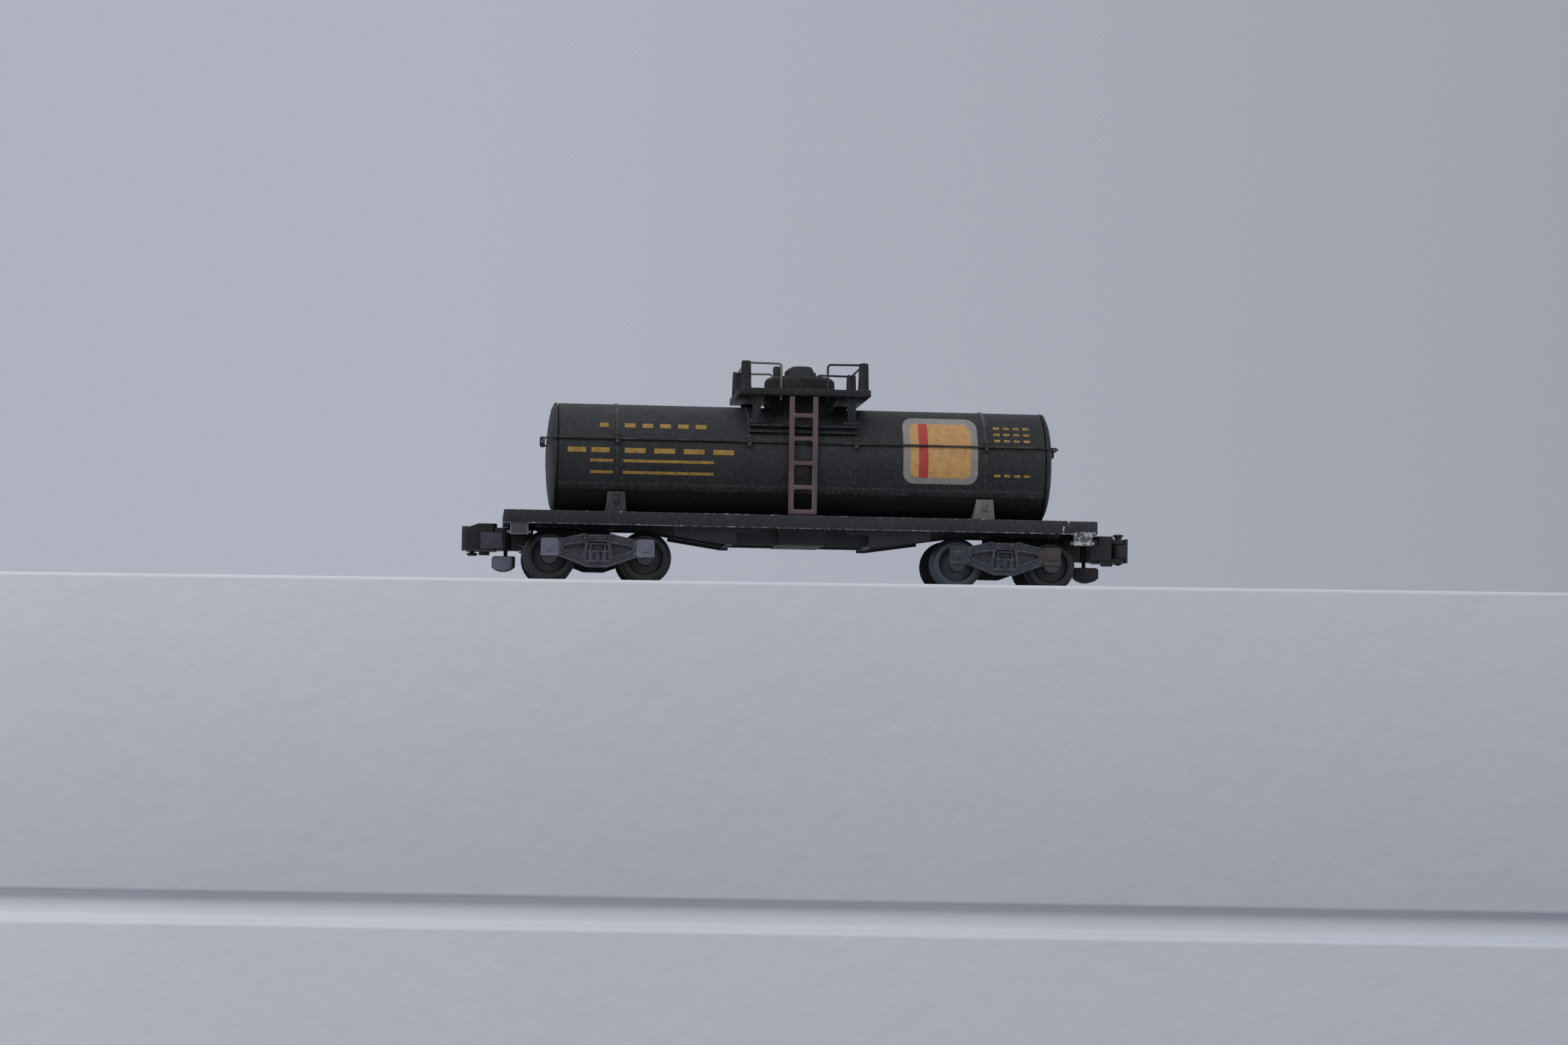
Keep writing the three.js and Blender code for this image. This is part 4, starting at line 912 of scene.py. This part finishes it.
plat_low, plat_high = box_mm("platform")
PLATE_TOP = PLATE_HIGH + 2.0
POST = (17.7, 16.0)
LEG = (14.3, 15.5)
WIRE_IN = (7.0, 15.0)
CORNERS = [(sx, sy) for sx in (-1, 1) for sy in (-1, 1)]
plate = block(plat_low.x, plat_high.x, plat_low.y, plat_high.y, PLATE_HIGH, PLATE_TOP)
holes = [lathe([(0, 50), (DOME_R + 0.3, 50), (DOME_R + 0.3, 70), (0, 70)], 72)]
for sx, sy in CORNERS:
    at = (sx * WIRE_IN[0], sy * WIRE_IN[1], 0)
    holes.append(lathe([(0, 50), (0.6, 50), (0.6, 70), (0, 70)], 16, "Z", at))
plate = soften(boolean(plate, joined(holes)), 0.2, 3, 40)
platform_parts = [plate]
for sx, sy in CORNERS:
    px, py = sx * POST[0], sy * POST[1]
    post = lathe([
        (0, PLATE_TOP - 0.4), (1.72, PLATE_TOP - 0.4), (1.72, PLATE_TOP + 0.02), (1.66, PLATE_TOP + 0.2),
        (1.62, PLATE_TOP + 0.5), (1.42, plat_high.z - 0.5), (1.34, plat_high.z - 0.15),
        (1.2, plat_high.z), (0, plat_high.z),
    ], 36, "Z", (px, py, 0))
    floor = PLATFORM_WIRE_Z - 0.5
    reach = 3
    along_x = (px - 0.55, px + reach) if sx < 0 else (px - reach, px + 0.55)
    along_y = (py - 0.55, py + reach) if sy < 0 else (py - reach, py + 0.55)
    notch = block(*along_x, py - 0.55, py + 0.55, floor, 70)
    post = boolean(post, notch)
    notch = block(px - 0.55, px + 0.55, *along_y, floor, 70)
    platform_parts.append(boolean(post, notch))
    lx, ly = sx * LEG[0], sy * LEG[1]
    flare = [
        (lx - 2.3, PLATE_HIGH + 0.2), (lx - 2.3, PLATE_HIGH - 0.5), (lx - 1.5, PLATE_HIGH - 1.4),
        (lx - 1.2, PLATE_HIGH - 2.6), (lx - 1.2, plat_low.z), (lx + 1.2, plat_low.z),
        (lx + 1.2, PLATE_HIGH - 2.6), (lx + 1.5, PLATE_HIGH - 1.4), (lx + 2.3, PLATE_HIGH - 0.5),
        (lx + 2.3, PLATE_HIGH + 0.2),
    ]
    flare = rounded(flare, [0, 0.3, 0.5, 0.8, 0, 0, 0.8, 0.5, 0.3, 0])
    platform_parts.append(soften(prism(flare, ly - 0.6, ly + 0.6, "XZ"), 0.14, 2, 35))
    foot = block(lx - 2.3, lx + 2.3, ly - 0.8, ly + 0.8, plat_low.z, plat_low.z + 0.5)
    platform_parts.append(soften(foot, 0.12, 2))
    for s in (-1, 1):
        bolt = lathe([
            (0, plat_low.z + 0.2), (0.5, plat_low.z + 0.2), (0.5, plat_low.z + 0.95),
            (0.4, plat_low.z + 1.08), (0, plat_low.z + 1.1),
        ], 6, "Z", (lx + s * 1.75, ly, 0))
        platform_parts.append(bolt)
piece("platform_body", joined(platform_parts), DOME, "platform", smooth=34)

for label, side, material, slot_name in (
    ("left", -1, WIRE_BRASS, "worn_wire"), ("right", 1, WIRE_DARK, "dark_wire"),
):
    rail = wire([
        (side * WIRE_IN[0], -WIRE_IN[1], PLATE_HIGH - 1.4),
        (side * WIRE_IN[0], -WIRE_IN[1], PLATFORM_WIRE_Z),
        (side * POST[0], -POST[1], PLATFORM_WIRE_Z), (side * POST[0], POST[1], PLATFORM_WIRE_Z),
        (side * WIRE_IN[0], WIRE_IN[1], PLATFORM_WIRE_Z),
        (side * WIRE_IN[0], WIRE_IN[1], PLATE_HIGH - 1.4),
    ], PLATFORM_WIRE_RADIUS, 1.1)
    piece(f"rail_wire_{label}", rail, material, f"platform_rail_{label}")

for label in ("near", "far"):
    bar = soften(cad_copy(f"angle_bar_{label}"), 0.12, 2, 25)
    piece(f"shoulder_bar_{label}", bar, DOME, f"angle_bar_{label}", smooth=45)

# ---------------------------------------------------------------- ladders

RUNG_Z = [22.5, 29.8, 37.0, 44.3, 51.3]
for label in ("near", "far"):
    low, high = box_mm(f"ladder_{label}")
    body = block(low.x, high.x, low.y, high.y, low.z, high.z)
    left, right = low.x + 1.56, high.x - 1.56
    tops = [z + 0.62 for z in RUNG_Z]
    bottoms = [z - 0.62 for z in RUNG_Z[1:]] + [high.z + 3]
    windows = []
    for z0, z1 in zip(tops, bottoms):
        shape = rounded([(left, z0), (right, z0), (right, z1), (left, z1)], 0.55, 5)
        windows.append(prism(shape, low.y - 1, high.y + 1, "XZ"))
    ladder = soften(boolean(body, joined(windows)), 0.13, 2, 50)
    piece(
        f"ladder_body_{label}", ladder, LADDER, f"ladder_{label}", smooth=45,
    )

# ---------------------------------------------------------------- tank handrail

rail_box = box_mm("tank_handrail")
RAIL_END = rail_box[1].x - HANDRAIL_RADIUS
RAIL_Y = rail_box[1].y - HANDRAIL_RADIUS
BEND_X = RAIL_END - 1.7
handrail = wire([
    (-0.2, RAIL_Y, RAIL_Z), (-BEND_X, RAIL_Y, RAIL_Z), (-RAIL_END, 12.5, RAIL_Z), (-RAIL_END, -12.5, RAIL_Z),
    (-BEND_X, -RAIL_Y, RAIL_Z), (BEND_X, -RAIL_Y, RAIL_Z), (RAIL_END, -12.5, RAIL_Z),
    (RAIL_END, 12.5, RAIL_Z),
    (BEND_X, RAIL_Y, RAIL_Z), (0.2, RAIL_Y, RAIL_Z),
], HANDRAIL_RADIUS, 2)
piece("handrail_wire", handrail, WIRE_DARK, "tank_handrail")

for side_name, side in (("near", -1), ("far", 1)):
    for i, x in enumerate([STRAP_X[0], *SEAM_X, STRAP_X[1]], 1):
        node = f"stanchion_{side_name}_{i}"
        shank = prism(rounded([
            (side * 15.5, 45.0), (side * 16.16, 43.2), (side * 16.62, 41.4), (side * 17.05, 41.4),
            (side * 17.4, 42.3), (side * 17.3, 44.0), (side * 16.6, 45.0),
        ], 0.2, 3), x - 0.5, x + 0.5, "YZ")
        at = (0, side * RAIL_Y, RAIL_Z)
        channel = lathe([(0, x - 2), (0.5, x - 2), (0.5, x + 2), (0, x + 2)], 20, "X", at)
        parts = [soften(boolean(shank, channel), 0.1, 2, 35)]
        for z in (RAIL_Z + 1.2, RAIL_Z - 1.2):
            knob = lathe([
                (0, 16.3), (0.5, 16.3), (0.55, 16.7), (0.55, 17.25), (0.46, 17.55), (0.26, 17.75), (0, 17.8),
            ], 20, "Y")
            for v in knob.verts:
                v.co.y *= side
            parts.append(moved(knob, x, 0, z))
        piece(
            f"rail_post_{side_name}_{i}", joined(parts), STRAP,
            node, smooth=40,
        )

for label, side in (("left", -1), ("right", 1)):
    low, high = box_mm(f"handrail_eyelet_{label}")
    shape = rounded([(low.x, low.z), (high.x, low.z), (high.x, high.z), (low.x, high.z)], 0.72, 5)
    lug = prism(shape, -0.9, 0.9, "XZ")
    hole = lathe([(0, -3), (0.5, -3), (0.5, 3), (0, 3)], 20, "Y", (side * RAIL_END, 0, RAIL_Z))
    piece(
        f"eyelet_body_{label}", soften(boolean(lug, hole), 0.15, 2, 35), STRAP,
        f"handrail_eyelet_{label}", smooth=40,
    )

# ---------------------------------------------------------------- plain printed markings

LABEL_X, LABEL_Z = 41.3, 41.5
for name, material, x0, x1, z0, z1, low, high, corner in (
    ("label_border", LABEL_GREY, -11.3, 11.3, -9.7, 10.5, -0.1, 0.05, 3.2),
    ("label_field", LABEL_CREAM, -9.2, 9.2, -7.9, 8.6, 0.0, 0.09, 2.2),
    ("label_stripe", LABEL_RED, -6.6, -3.8, -7.9, 8.6, 0.0, 0.12, 0.0),
):
    printed = print_box(LABEL_X + x0, LABEL_X + x1, LABEL_Z + z0, LABEL_Z + z1, low, high, corner, 12)
    piece(name, printed, material, smooth=30)


def dash_row(x0, lengths, gap, z, height):
    """A row of plain dashes."""
    made = []
    x = x0
    for length in lengths:
        made.append(print_box(x, x + length, z - height / 2, z + height / 2, -0.05, 0.05))
        x += length + gap
    return made


bars = []
for z in (36.6, 33.2):
    for x0, x1 in ((-63.8, STRAP_X[0] - 1.2), (STRAP_X[0] + 1.8, -26.9)):
        bars.append(print_box(x0, x1, z - 0.42, z + 0.42, -0.05, 0.05))
piece("print_bars", joined(bars), GOLD, smooth=30)
dashes = dash_row(-61.0, [2.6], 1.0, 47.4, 1.3) + dash_row(-53.6, [3.2, 3.2, 3.2, 3.2, 3.2], 2.1, 47.4, 1.3)
dashes += dash_row(-70.5, [5.4, 5.4], 1.6, 39.7, 1.5) + dash_row(-53.6, [6.2, 6.2, 6.2, 6.2], 2.6, 39.7, 1.5)
piece("print_dashes", joined(dashes), GOLD, smooth=30)
small = []
for z, count in ((49.2, 4), (47.2, 4), (45.2, 4), (34.6, 4)):
    small += dash_row(57.6, [1.9] * count, 1.1, z, 0.75)
piece("print_small_rows", joined(small), GOLD_FAINT, smooth=30)

# ---------------------------------------------------------------- trucks

HALF_SIDEFRAME = [
    (0, 4.7), (3.1, 4.7), (10.9, 7.6), (16.3, 7.6), (16.3, 12.6), (12.4, 12.9), (5.5, 14.4), (4.0, 14.9),
    (3.7, 14.5), (0, 14.5),
]
SPRING_TURNS = 5


def mirrored(points):
    return [(-u, v) for u, v in points][::-1]


def grown(points, amount):
    """A polygon pushed outwards along its corner normals."""
    area = sum(a[0] * b[1] - b[0] * a[1] for a, b in zip(points, points[1:] + points[:1]))
    sign = 1 if area > 0 else -1
    made = []
    count = len(points)
    for i in range(count):
        p, a, b = Vector(points[i]), Vector(points[i - 1]), Vector(points[(i + 1) % count])
        n1 = Vector(((p - a).y, -(p - a).x)).normalized() * sign
        n2 = Vector(((b - p).y, -(b - p).x)).normalized() * sign
        bisector = (n1 + n2).normalized()
        made.append(tuple(p + bisector * amount / max(0.35, bisector.dot(n1))))
    return made


def ring_plate(outer, inner, low, high):
    """A flat ring between two outlines with the same number of points."""
    bm = bmesh.new()
    levels = []
    for level in (low, high):
        levels.append([[bm.verts.new((u, level, v)) for u, v in loop] for loop in (outer, inner)])
    count = len(outer)
    for i in range(count):
        j = (i + 1) % count
        (o0, i0), (o1, i1) = levels
        bm.faces.new((o0[i], o0[j], o1[j], o1[i]))
        bm.faces.new((i0[i], i0[j], i1[j], i1[i]))
        bm.faces.new((o0[i], o0[j], i0[j], i0[i]))
        bm.faces.new((o1[i], o1[j], i1[j], i1[i]))
    bmesh.ops.recalc_face_normals(bm, faces=bm.faces)
    return bm


def sideframe(side):
    """One moulded sideframe about the truck's centre, outer face towards side."""
    def ys(a, b):
        return (a, b) if side > 0 else (-b, -a)

    def raised(points, low, high, width=0.14, segments=2):
        """A small moulded detail standing on the plate."""
        parts.append(soften(prism(points, *ys(low, high), "XZ"), width, segments, 35))

    outline = HALF_SIDEFRAME + mirrored(HALF_SIDEFRAME)[1:-1]
    plate = prism(rounded(outline, 0.3, 3), *ys(14.9, 16.35), "XZ")
    pocket = [(4.6, 7.8), (10.0, 9.8), (10.4, 10.4), (9.8, 11.0), (4.1, 11.9), (3.7, 11.4)]
    cuts, rims = [], []
    for s in (-1, 1):
        shape = pocket if s > 0 else mirrored(pocket)
        inner = rounded(shape, 0.5, 4)
        cuts.append(prism(inner, *ys(15.5, 19), "XZ"))
        rim = ring_plate(rounded(grown(shape, 0.42), 0.7, 4), inner, *ys(15.6, 16.7))
        rims.append(soften(rim, 0.12, 2, 40))
    recess = rounded([(-3.6, 6.8), (3.6, 6.8), (2.8, 12.6), (-2.8, 12.6)], 0.4, 3)
    cuts.append(prism(recess, *ys(15.8, 19), "XZ"))
    cuts.append(block(-1.9, 1.9, *ys(13, 19), 9.7, 11.4))
    for s in (-1, 1):
        socket = lathe([(0, 13), (1.3, 13), (1.3, 16.2), (0, 16.2)], 24, "Y", (s * AXLE_X, 0, AXLE_Z))
        cuts.append(facing(socket, side))
    plate = soften(boolean(plate, joined(cuts)), 0.14, 2, 40)
    parts = [plate] + rims
    # Thin raised edge along the whole outline.
    outer = rounded(grown(outline, -0.02), 0.3, 3)
    inset = rounded(grown(outline, -0.42), 0.3, 3)
    if len(outer) == len(inset):
        parts.append(soften(ring_plate(outer, inset, *ys(15.9, 16.58)), 0.12, 2, 40))
    # Window frame with small ears, spring columns and the seat under them.
    window = [(-1.9, 9.8), (1.9, 9.8), (1.9, 11.4), (-1.9, 11.4)]
    parts.append(soften(ring_plate(
        rounded(grown(window, 0.42), 0.3, 3), rounded(window, 0.3, 3), *ys(15.2, 16.9)), 0.12, 2, 40))
    for s in (-1, 1):
        ear = [(s * 1.7, 9.35), (s * 2.95, 9.35), (s * 2.95, 9.6), (s * 2.5, 10.1), (s * 1.7, 10.1)]
        raised(ear, 15.6, 16.85, 0.1)
        slope = [(s * 2.75, 12.5), (s * 3.2, 12.5), (s * 4.15, 7.2), (s * 3.7, 7.2)]
        raised(slope, 15.6, 16.75)
        lug = [
            (s * 3.5, 14.2), (s * 5.6, 13.9), (s * 5.3, 14.45), (s * 4.4, 14.75), (s * 3.9, 14.85),
            (s * 3.5, 14.5),
        ]
        raised(lug, 15.5, 16.95)
    for z in (12.55, 13.3, 14.0):
        parts.append(soften(block(-2.5, 2.5, *ys(15.6, 16.75), z - 0.17, z + 0.17), 0.1, 2))
    parts.append(soften(block(-3.4, 3.4, *ys(15.4, 16.8), 6.1, 6.7), 0.15, 2))
    parts.append(soften(block(-2.9, 2.9, *ys(15.4, 16.6), 9.1, 9.45), 0.1, 2))
    for x in (-2.0, 0, 2.0):
        turn = (9.2 - 6.6) / SPRING_TURNS
        profile = [(0, 6.6)]
        for k in range(SPRING_TURNS):
            z = 6.6 + k * turn
            profile += [(0.55, z), (0.78, z + turn * 0.3), (0.78, z + turn * 0.7), (0.55, z + turn)]
        profile.append((0, 9.2))
        parts.append(lathe(profile, 16, "Z", (x, side * 15.9, 0)))
    for s in (-1, 1):
        x = s * AXLE_X
        parts.append(facing(lathe([
            (1.35, 14.9), (2.2, 14.9), (2.3, 15.1), (2.3, 16.5), (2.2, 16.75), (1.9, 16.9), (1.3, 16.98),
            (0, 17.0), (0, 16.4), (1.35, 16.4), (1.35, 14.9),
        ], 40, "Y", (x, 0, AXLE_Z)), side))
        box_outline = rounded([
            (x - 2.6, 8.1), (x + 2.6, 8.1), (x + 2.6, 12.7), (x + 2.1, 13.2), (x - 2.1, 13.2),
            (x - 2.6, 12.7),
        ], 0.25, 3)
        raised(box_outline, 16.0, 17.4, 0.16, 3)
        flange = [(x - 2.6, 7.9), (x + 2.6, 7.9), (x + 2.6, 8.5), (x - 2.6, 8.5)]
        raised(flange, 16.6, 17.65, 0.12)
        square = rounded([(x - 1.35, 9.5), (x + 1.35, 9.5), (x + 1.35, 11.6), (x - 1.35, 11.6)], 0.2, 3)
        raised(square, 17.1, 17.9)
        corner_mark = [(x - 1.1, 10.5), (x + 0.1, 10.5), (x + 0.1, 11.4), (x - 1.1, 11.4)]
        raised(corner_mark, 17.6, 18.12, 0.12)
        neck = [(s * 10.6, 8.3), (s * 11.8, 8.3), (s * 11.8, 12.6), (s * 10.6, 12.4)]
        raised(neck, 15.9, 16.95)
        for bolt_x, bolt_z in ((s * 3.65, 13.4), (s * 11.2, 11.75), (s * 11.2, 8.9)):
            parts.append(facing(lathe([
                (0, 16.2), (0.34, 16.2), (0.34, 17.0), (0.22, 17.15), (0, 17.18),
            ], 10, "Y", (bolt_x, 0, bolt_z)), side))
    return joined(parts)


def wheel(side):
    """One wheel about its axle: back face, flange, coned tread, rim face, dished web and hub."""
    back, front = WHEEL_BACK, WHEEL_FRONT
    profile = [
        (1.25, back), (6.9, back), (7.7, back + 0.1), (7.92, back + 0.28), (8.0, back + 0.6),
        (7.9, back + 0.9),
        (7.5, back + 1.15), (7.15, back + 1.35), (7.02, back + 1.6), (6.75, front - 0.25),
        (6.62, front - 0.06), (6.45, front),
        (5.5, front), (5.35, front - 0.06), (5.2, front - 0.3), (4.9, front - 0.85), (4.3, front - 1.1),
        (3.0, front - 1.1),
        (2.65, front - 0.95), (2.45, front - 0.5), (2.38, front - 0.2), (2.2, front - 0.1),
        (1.25, front - 0.1), (1.25, back),
    ]
    return facing(lathe(profile, 96, "Y"), side)


def rim_ring(side):
    """The flat ring on a wheel's outer face."""
    front = WHEEL_FRONT
    ring = [
        (6.55, front - 0.2), (6.56, front), (6.45, front + 0.07), (5.45, front + 0.09), (5.3, front + 0.03),
        (5.26, front - 0.3), (6.55, front - 0.2),
    ]
    return facing(lathe(ring, 96, "Y"), side)


def axle():
    return lathe([
        (0, -16.1), (0.5, -15.95), (0.95, -15.5), (1.0, -15.2), (1.0, -14.35), (1.2, -14.2), (1.2, -8.5),
        (0.95, -6),
        (0.95, 6), (1.2, 8.5), (1.2, 14.2), (1.0, 14.35), (1.0, 15.2), (0.95, 15.5), (0.5, 15.95), (0, 16.1),
    ], 32, "Y")


# ---------------------------------------------------------------- couplers

PIVOT_X = 82.5


def as_right(end, node):
    """A coupler's CAD shape, turned to the right end so that both ends are finished alike."""
    bm = cad_copy(f"coupler_{end}_{node}")
    return half_turn(bm) if end == "left" else bm


def coupler_head(end):
    """The head with its shank, guard arm and pin ears, from the CAD shape with rounded edges."""
    rib = soften(block(91.6, 95.8, -1.2, 1.2, 17.5, 17.8), 0.12, 2)
    return joined([soften(as_right(end, "head"), 0.22, 3, 35), rib])


def coupler_panel(side):
    """A raised panel on one side of the head."""
    ys = (side * 4.5, side * 5.15) if side > 0 else (side * 5.15, side * 4.5)
    panel = rounded([(88.9, 10.4), (95.6, 10.2), (95.8, 15.2), (89.1, 14.9)], 0.35, 3)
    return soften(prism(panel, *ys, "XZ"), 0.16, 2, 40)


def knuckle_pin(end):
    head_up = end == "right"
    profile = [
        (0, 9.0), (0.65, 9.0), (0.75, 9.15), (0.75, 17.1), (1.15, 17.2), (1.15, 17.8), (1.6, 17.88),
        (1.65, 18.05),
        (1.55, 18.3), (1.1, 18.46), (0, 18.5),
    ] if head_up else [
        (0, 8.4), (1.1, 8.4), (1.45, 8.55), (1.6, 8.8), (1.6, 9.15), (1.5, 9.3), (0.75, 9.35), (0.75, 17.1),
        (0.6, 17.3), (0, 17.3),
    ]
    return lathe(profile, 32, "Z", (KNUCKLE_PIN.x, KNUCKLE_PIN.y, 0))


def weight_pad():
    """A proud pad over most of each face of the weight."""
    return soften(prism(rounded([
        (86.2, 8.1), (86.2, 4.5), (87.7, 3.85), (89.4, 3.75), (90.9, 4.2), (92.05, 5.1), (92.05, 7.55),
        (91.5, 8.1),
    ], 0.25, 3), -3.05, 3.05, "XZ"), 0.14, 2, 40)


for end, sign in (("left", -1), ("right", 1)):
    near = -1 if sign > 0 else 1

    def turned(bm, sign=sign):
        return bm if sign > 0 else half_turn(bm)

    def on_truck(bm, turn=turned):
        return turn(moved(bm, TRUCK_X))

    truck = f"truck_{end}"
    bolster = soften(cad_copy(f"{truck}_frame"), 0.2, 2, 30)
    piece(
        f"{truck}_bolster", bolster, TRUCK_CASTING, f"{truck}_frame", smooth=45,
        body=truck,
    )
    for place, side in (("near", near), ("far", -near)):
        rusty = end == "right" and place == "near"
        piece(
            f"{truck}_side_{place}", on_truck(sideframe(side)), SIDEFRAME_RUSTY if rusty else SIDEFRAME,
            f"{truck}_sideframe_{place}", smooth=40, body=truck,
        )
    for place, x in (("inner", -AXLE_X), ("outer", AXLE_X)):
        body = f"wheelset_{end}_{place}"
        piece(
            f"{truck}_rod_{place}", on_truck(moved(axle(), x, 0, AXLE_Z)), STEEL,
            f"{truck}_axle_{place}", body=body,
        )
        for where, side in (("near", near), ("far", -near)):
            # One wheel takes the lit copy with the painted sheen.
            painted_sheen_wheel = end == "right" and place == "inner" and where == "near"
            piece(
                f"{truck}_disc_{place}_{where}", on_truck(moved(wheel(side), x, 0, AXLE_Z)),
                WHEEL_PAINTED_SHEEN if painted_sheen_wheel else WHEEL,
                f"{truck}_wheel_{place}_{where}", smooth=32, body=body,
            )
            piece(
                f"{truck}_ring_{place}_{where}", on_truck(moved(rim_ring(side), x, 0, AXLE_Z)),
                WHEEL_PAINTED_SHEEN if painted_sheen_wheel else WHEEL, None, smooth=32, body=body,
            )
    low, high = box_mm(f"{truck}_pivot_rivet")
    rivet = lathe([
        (0, low.z), (0.9, low.z), (1.0, low.z + 0.25), (1.55, low.z + 0.1), (1.95, low.z + 0.35),
        (2.1, low.z + 0.7),
        (2.1, low.z + 1.0), (1.2, low.z + 1.05), (1.2, high.z), (0, high.z),
    ], 32)
    piece(f"{truck}_king_rivet", on_truck(rivet), STEEL, f"{truck}_pivot_rivet")
    low, high = box_mm(f"coupler_{end}_rivet")
    rivet = lathe([
        (0, low.z), (1.2, low.z), (1.65, low.z + 0.25), (1.7, low.z + 0.6), (1.0, low.z + 0.75),
        (1.0, high.z - 0.7),
        (1.7, high.z - 0.7), (1.6, high.z - 0.35), (1.1, high.z - 0.06), (0, high.z),
    ], 32, "Z", (PIVOT_X, 0, 0))
    piece(f"coupler_{end}_stud", turned(rivet), STEEL, f"coupler_{end}_rivet", body=truck)
    dusty = end == "left"
    piece(
        f"coupler_{end}_body", turned(coupler_head(end)), COUPLER,
        f"coupler_{end}_head", smooth=45, body=f"coupler_{end}",
    )
    for place, side in (("near", near), ("far", -near)):
        piece(
            f"coupler_{end}_panel_{place}", turned(coupler_panel(side)), COUPLER_DUSTY if dusty else COUPLER,
            None, smooth=45, body=f"coupler_{end}",
        )
    piece(
        f"coupler_{end}_jaw", turned(soften(as_right(end, "knuckle"), 0.3, 3, 35)),
        KNUCKLE_WORN if dusty else COUPLER, f"coupler_{end}_knuckle",
        smooth=45, body=f"knuckle_{end}",
    )
    piece(
        f"coupler_{end}_hinge_pin", turned(knuckle_pin(end)), COUPLER,
        f"coupler_{end}_knuckle_pin", body=f"coupler_{end}",
    )
    piece(
        f"coupler_{end}_weight", turned(soften(as_right(end, "lift_pin"), 0.3, 3, 35)), COUPLER,
        f"coupler_{end}_lift_pin", smooth=45, body=f"lift_pin_{end}",
    )
    piece(
        f"coupler_{end}_pad", turned(weight_pad()), WEIGHT_GREY if dusty else COUPLER,
        None, smooth=45, body=f"lift_pin_{end}",
    )

# ---------------------------------------------------------------- stage


def wall_paint(name, base, shade, far_side):
    """Pale paint for the stage, with painted shade making it a little darker towards +X."""
    g = Graph(name)
    colour = g.mix(g.step(g.noise(6, 3), 0.3, 0.7), base, shade)
    colour = g.mix(g.step(g.axis(0), -0.35, 0.45), colour, far_side)
    bump = g.math("ADD", g.noise(160, 4, 0.6), g.math("MULTIPLY", g.noise(40, 3, offset=3.0), 1.5))
    return g.finish(colour, g.spread(g.noise(30, 3), 0.5, 0.65), bump, 0.25)


SHELF_PAINT = wall_paint("shelf_paint", tone(246, 248, 252), tone(240, 243, 249), tone(228, 233, 242))

shelf_profile = [
    (0.0, 0.0), (0.0, -92.0), (3.5, -93.0), (3.5, -99.5), (-1.0, -100.5), (-1.0, -420.0), (900.0, -420.0),
    (900.0, 0.0),
]
shelf = prism(shelf_profile, -900, 900, "YZ")
shelf = soften(shelf, 1.2, 3, 20)
bmesh.ops.rotate(shelf, cent=(0, 0, 0), matrix=Matrix.Rotation(math.radians(-7.2), 3, "Z"), verts=shelf.verts)
moved(shelf, -9.0, -47.0, 0.0)
shelf_obj = mesh_object("shelf", shelf, SHELF_PAINT, 40)

# ---------------------------------------------------------------- light and camera

world = bpy.data.worlds.new("studio")
bpy.context.scene.world = world
world.use_nodes = True
tree = world.node_tree
background = tree.nodes["Background"]


def ramp(value, low, high, left, right):
    """A colour that runs from left to right as value runs from low to high."""
    span = tree.nodes.new("ShaderNodeMapRange")
    span.inputs["From Min"].default_value, span.inputs["From Max"].default_value = low, high
    tree.links.new(value, span.inputs["Value"])
    blend = tree.nodes.new("ShaderNodeMix")
    blend.data_type = "RGBA"
    tree.links.new(span.outputs["Result"], blend.inputs["Factor"])
    blend.inputs["A"].default_value, blend.inputs["B"].default_value = left, right
    return blend.outputs["Result"]


# What is seen is a pale wall with painted shade, a little darker to the right; what lights is bright above
# and dark below.
direction = tree.nodes.new("ShaderNodeSeparateXYZ")
tree.links.new(tree.nodes.new("ShaderNodeTexCoord").outputs["Generated"], direction.inputs[0])
seen = ramp(direction.outputs[0], 0.0, 0.34, tone(174, 179, 191), tone(157, 161, 172))
lighting = ramp(direction.outputs[2], -0.4, 0.7, (0.08, 0.08, 0.09, 1), (0.52, 0.535, 0.575, 1))
chosen = tree.nodes.new("ShaderNodeMix")
chosen.data_type = "RGBA"
tree.links.new(tree.nodes.new("ShaderNodeLightPath").outputs["Is Camera Ray"], chosen.inputs["Factor"])
tree.links.new(lighting, chosen.inputs["A"])
tree.links.new(seen, chosen.inputs["B"])
tree.links.new(chosen.outputs["Result"], background.inputs["Color"])
background.inputs["Strength"].default_value = 1.0


def area_light(name, at, target, size, power, colour=(1, 1, 1)):
    light = bpy.data.lights.new(name, "AREA")
    light.shape, light.size, light.energy, light.color = "DISK", size, power, colour
    obj = bpy.data.objects.new(name, light)
    obj.location = at
    obj.rotation_euler = (Vector(target) - Vector(at)).to_track_quat("-Z", "Y").to_euler()
    bpy.context.scene.collection.objects.link(obj)


area_light("key", (-1.3, -1.1, 1.0), (0, 0, 0.03), 0.9, 8.0)
area_light("fill", (0.9, -1.1, 0.5), (0, 0, 0.03), 1.0, 2.0)

camera_data = bpy.data.cameras.new("camera")
camera_data.sensor_width = 36.0
camera_data.lens = 76.53
camera_data.clip_start, camera_data.clip_end = 0.01, 20.0
camera = bpy.data.objects.new("camera", camera_data)
bpy.context.scene.collection.objects.link(camera)
YAW, PITCH, ROLL = (math.radians(a) for a in (5.53, 3.74, 0.86))
forward = Vector((math.sin(YAW) * math.cos(PITCH), math.cos(YAW) * math.cos(PITCH), math.sin(PITCH)))
right = Vector((math.cos(YAW), -math.sin(YAW), 0))
up = right.cross(forward)
right, up = right * math.cos(ROLL) + up * math.sin(ROLL), up * math.cos(ROLL) - right * math.sin(ROLL)
place = Matrix((right, up, -forward)).transposed().to_4x4()
place.translation = Vector((-0.10134, -1.00439, -0.04569))
camera.matrix_world = place
bpy.context.scene.camera = camera
bpy.context.scene.view_settings.view_transform = "Standard"
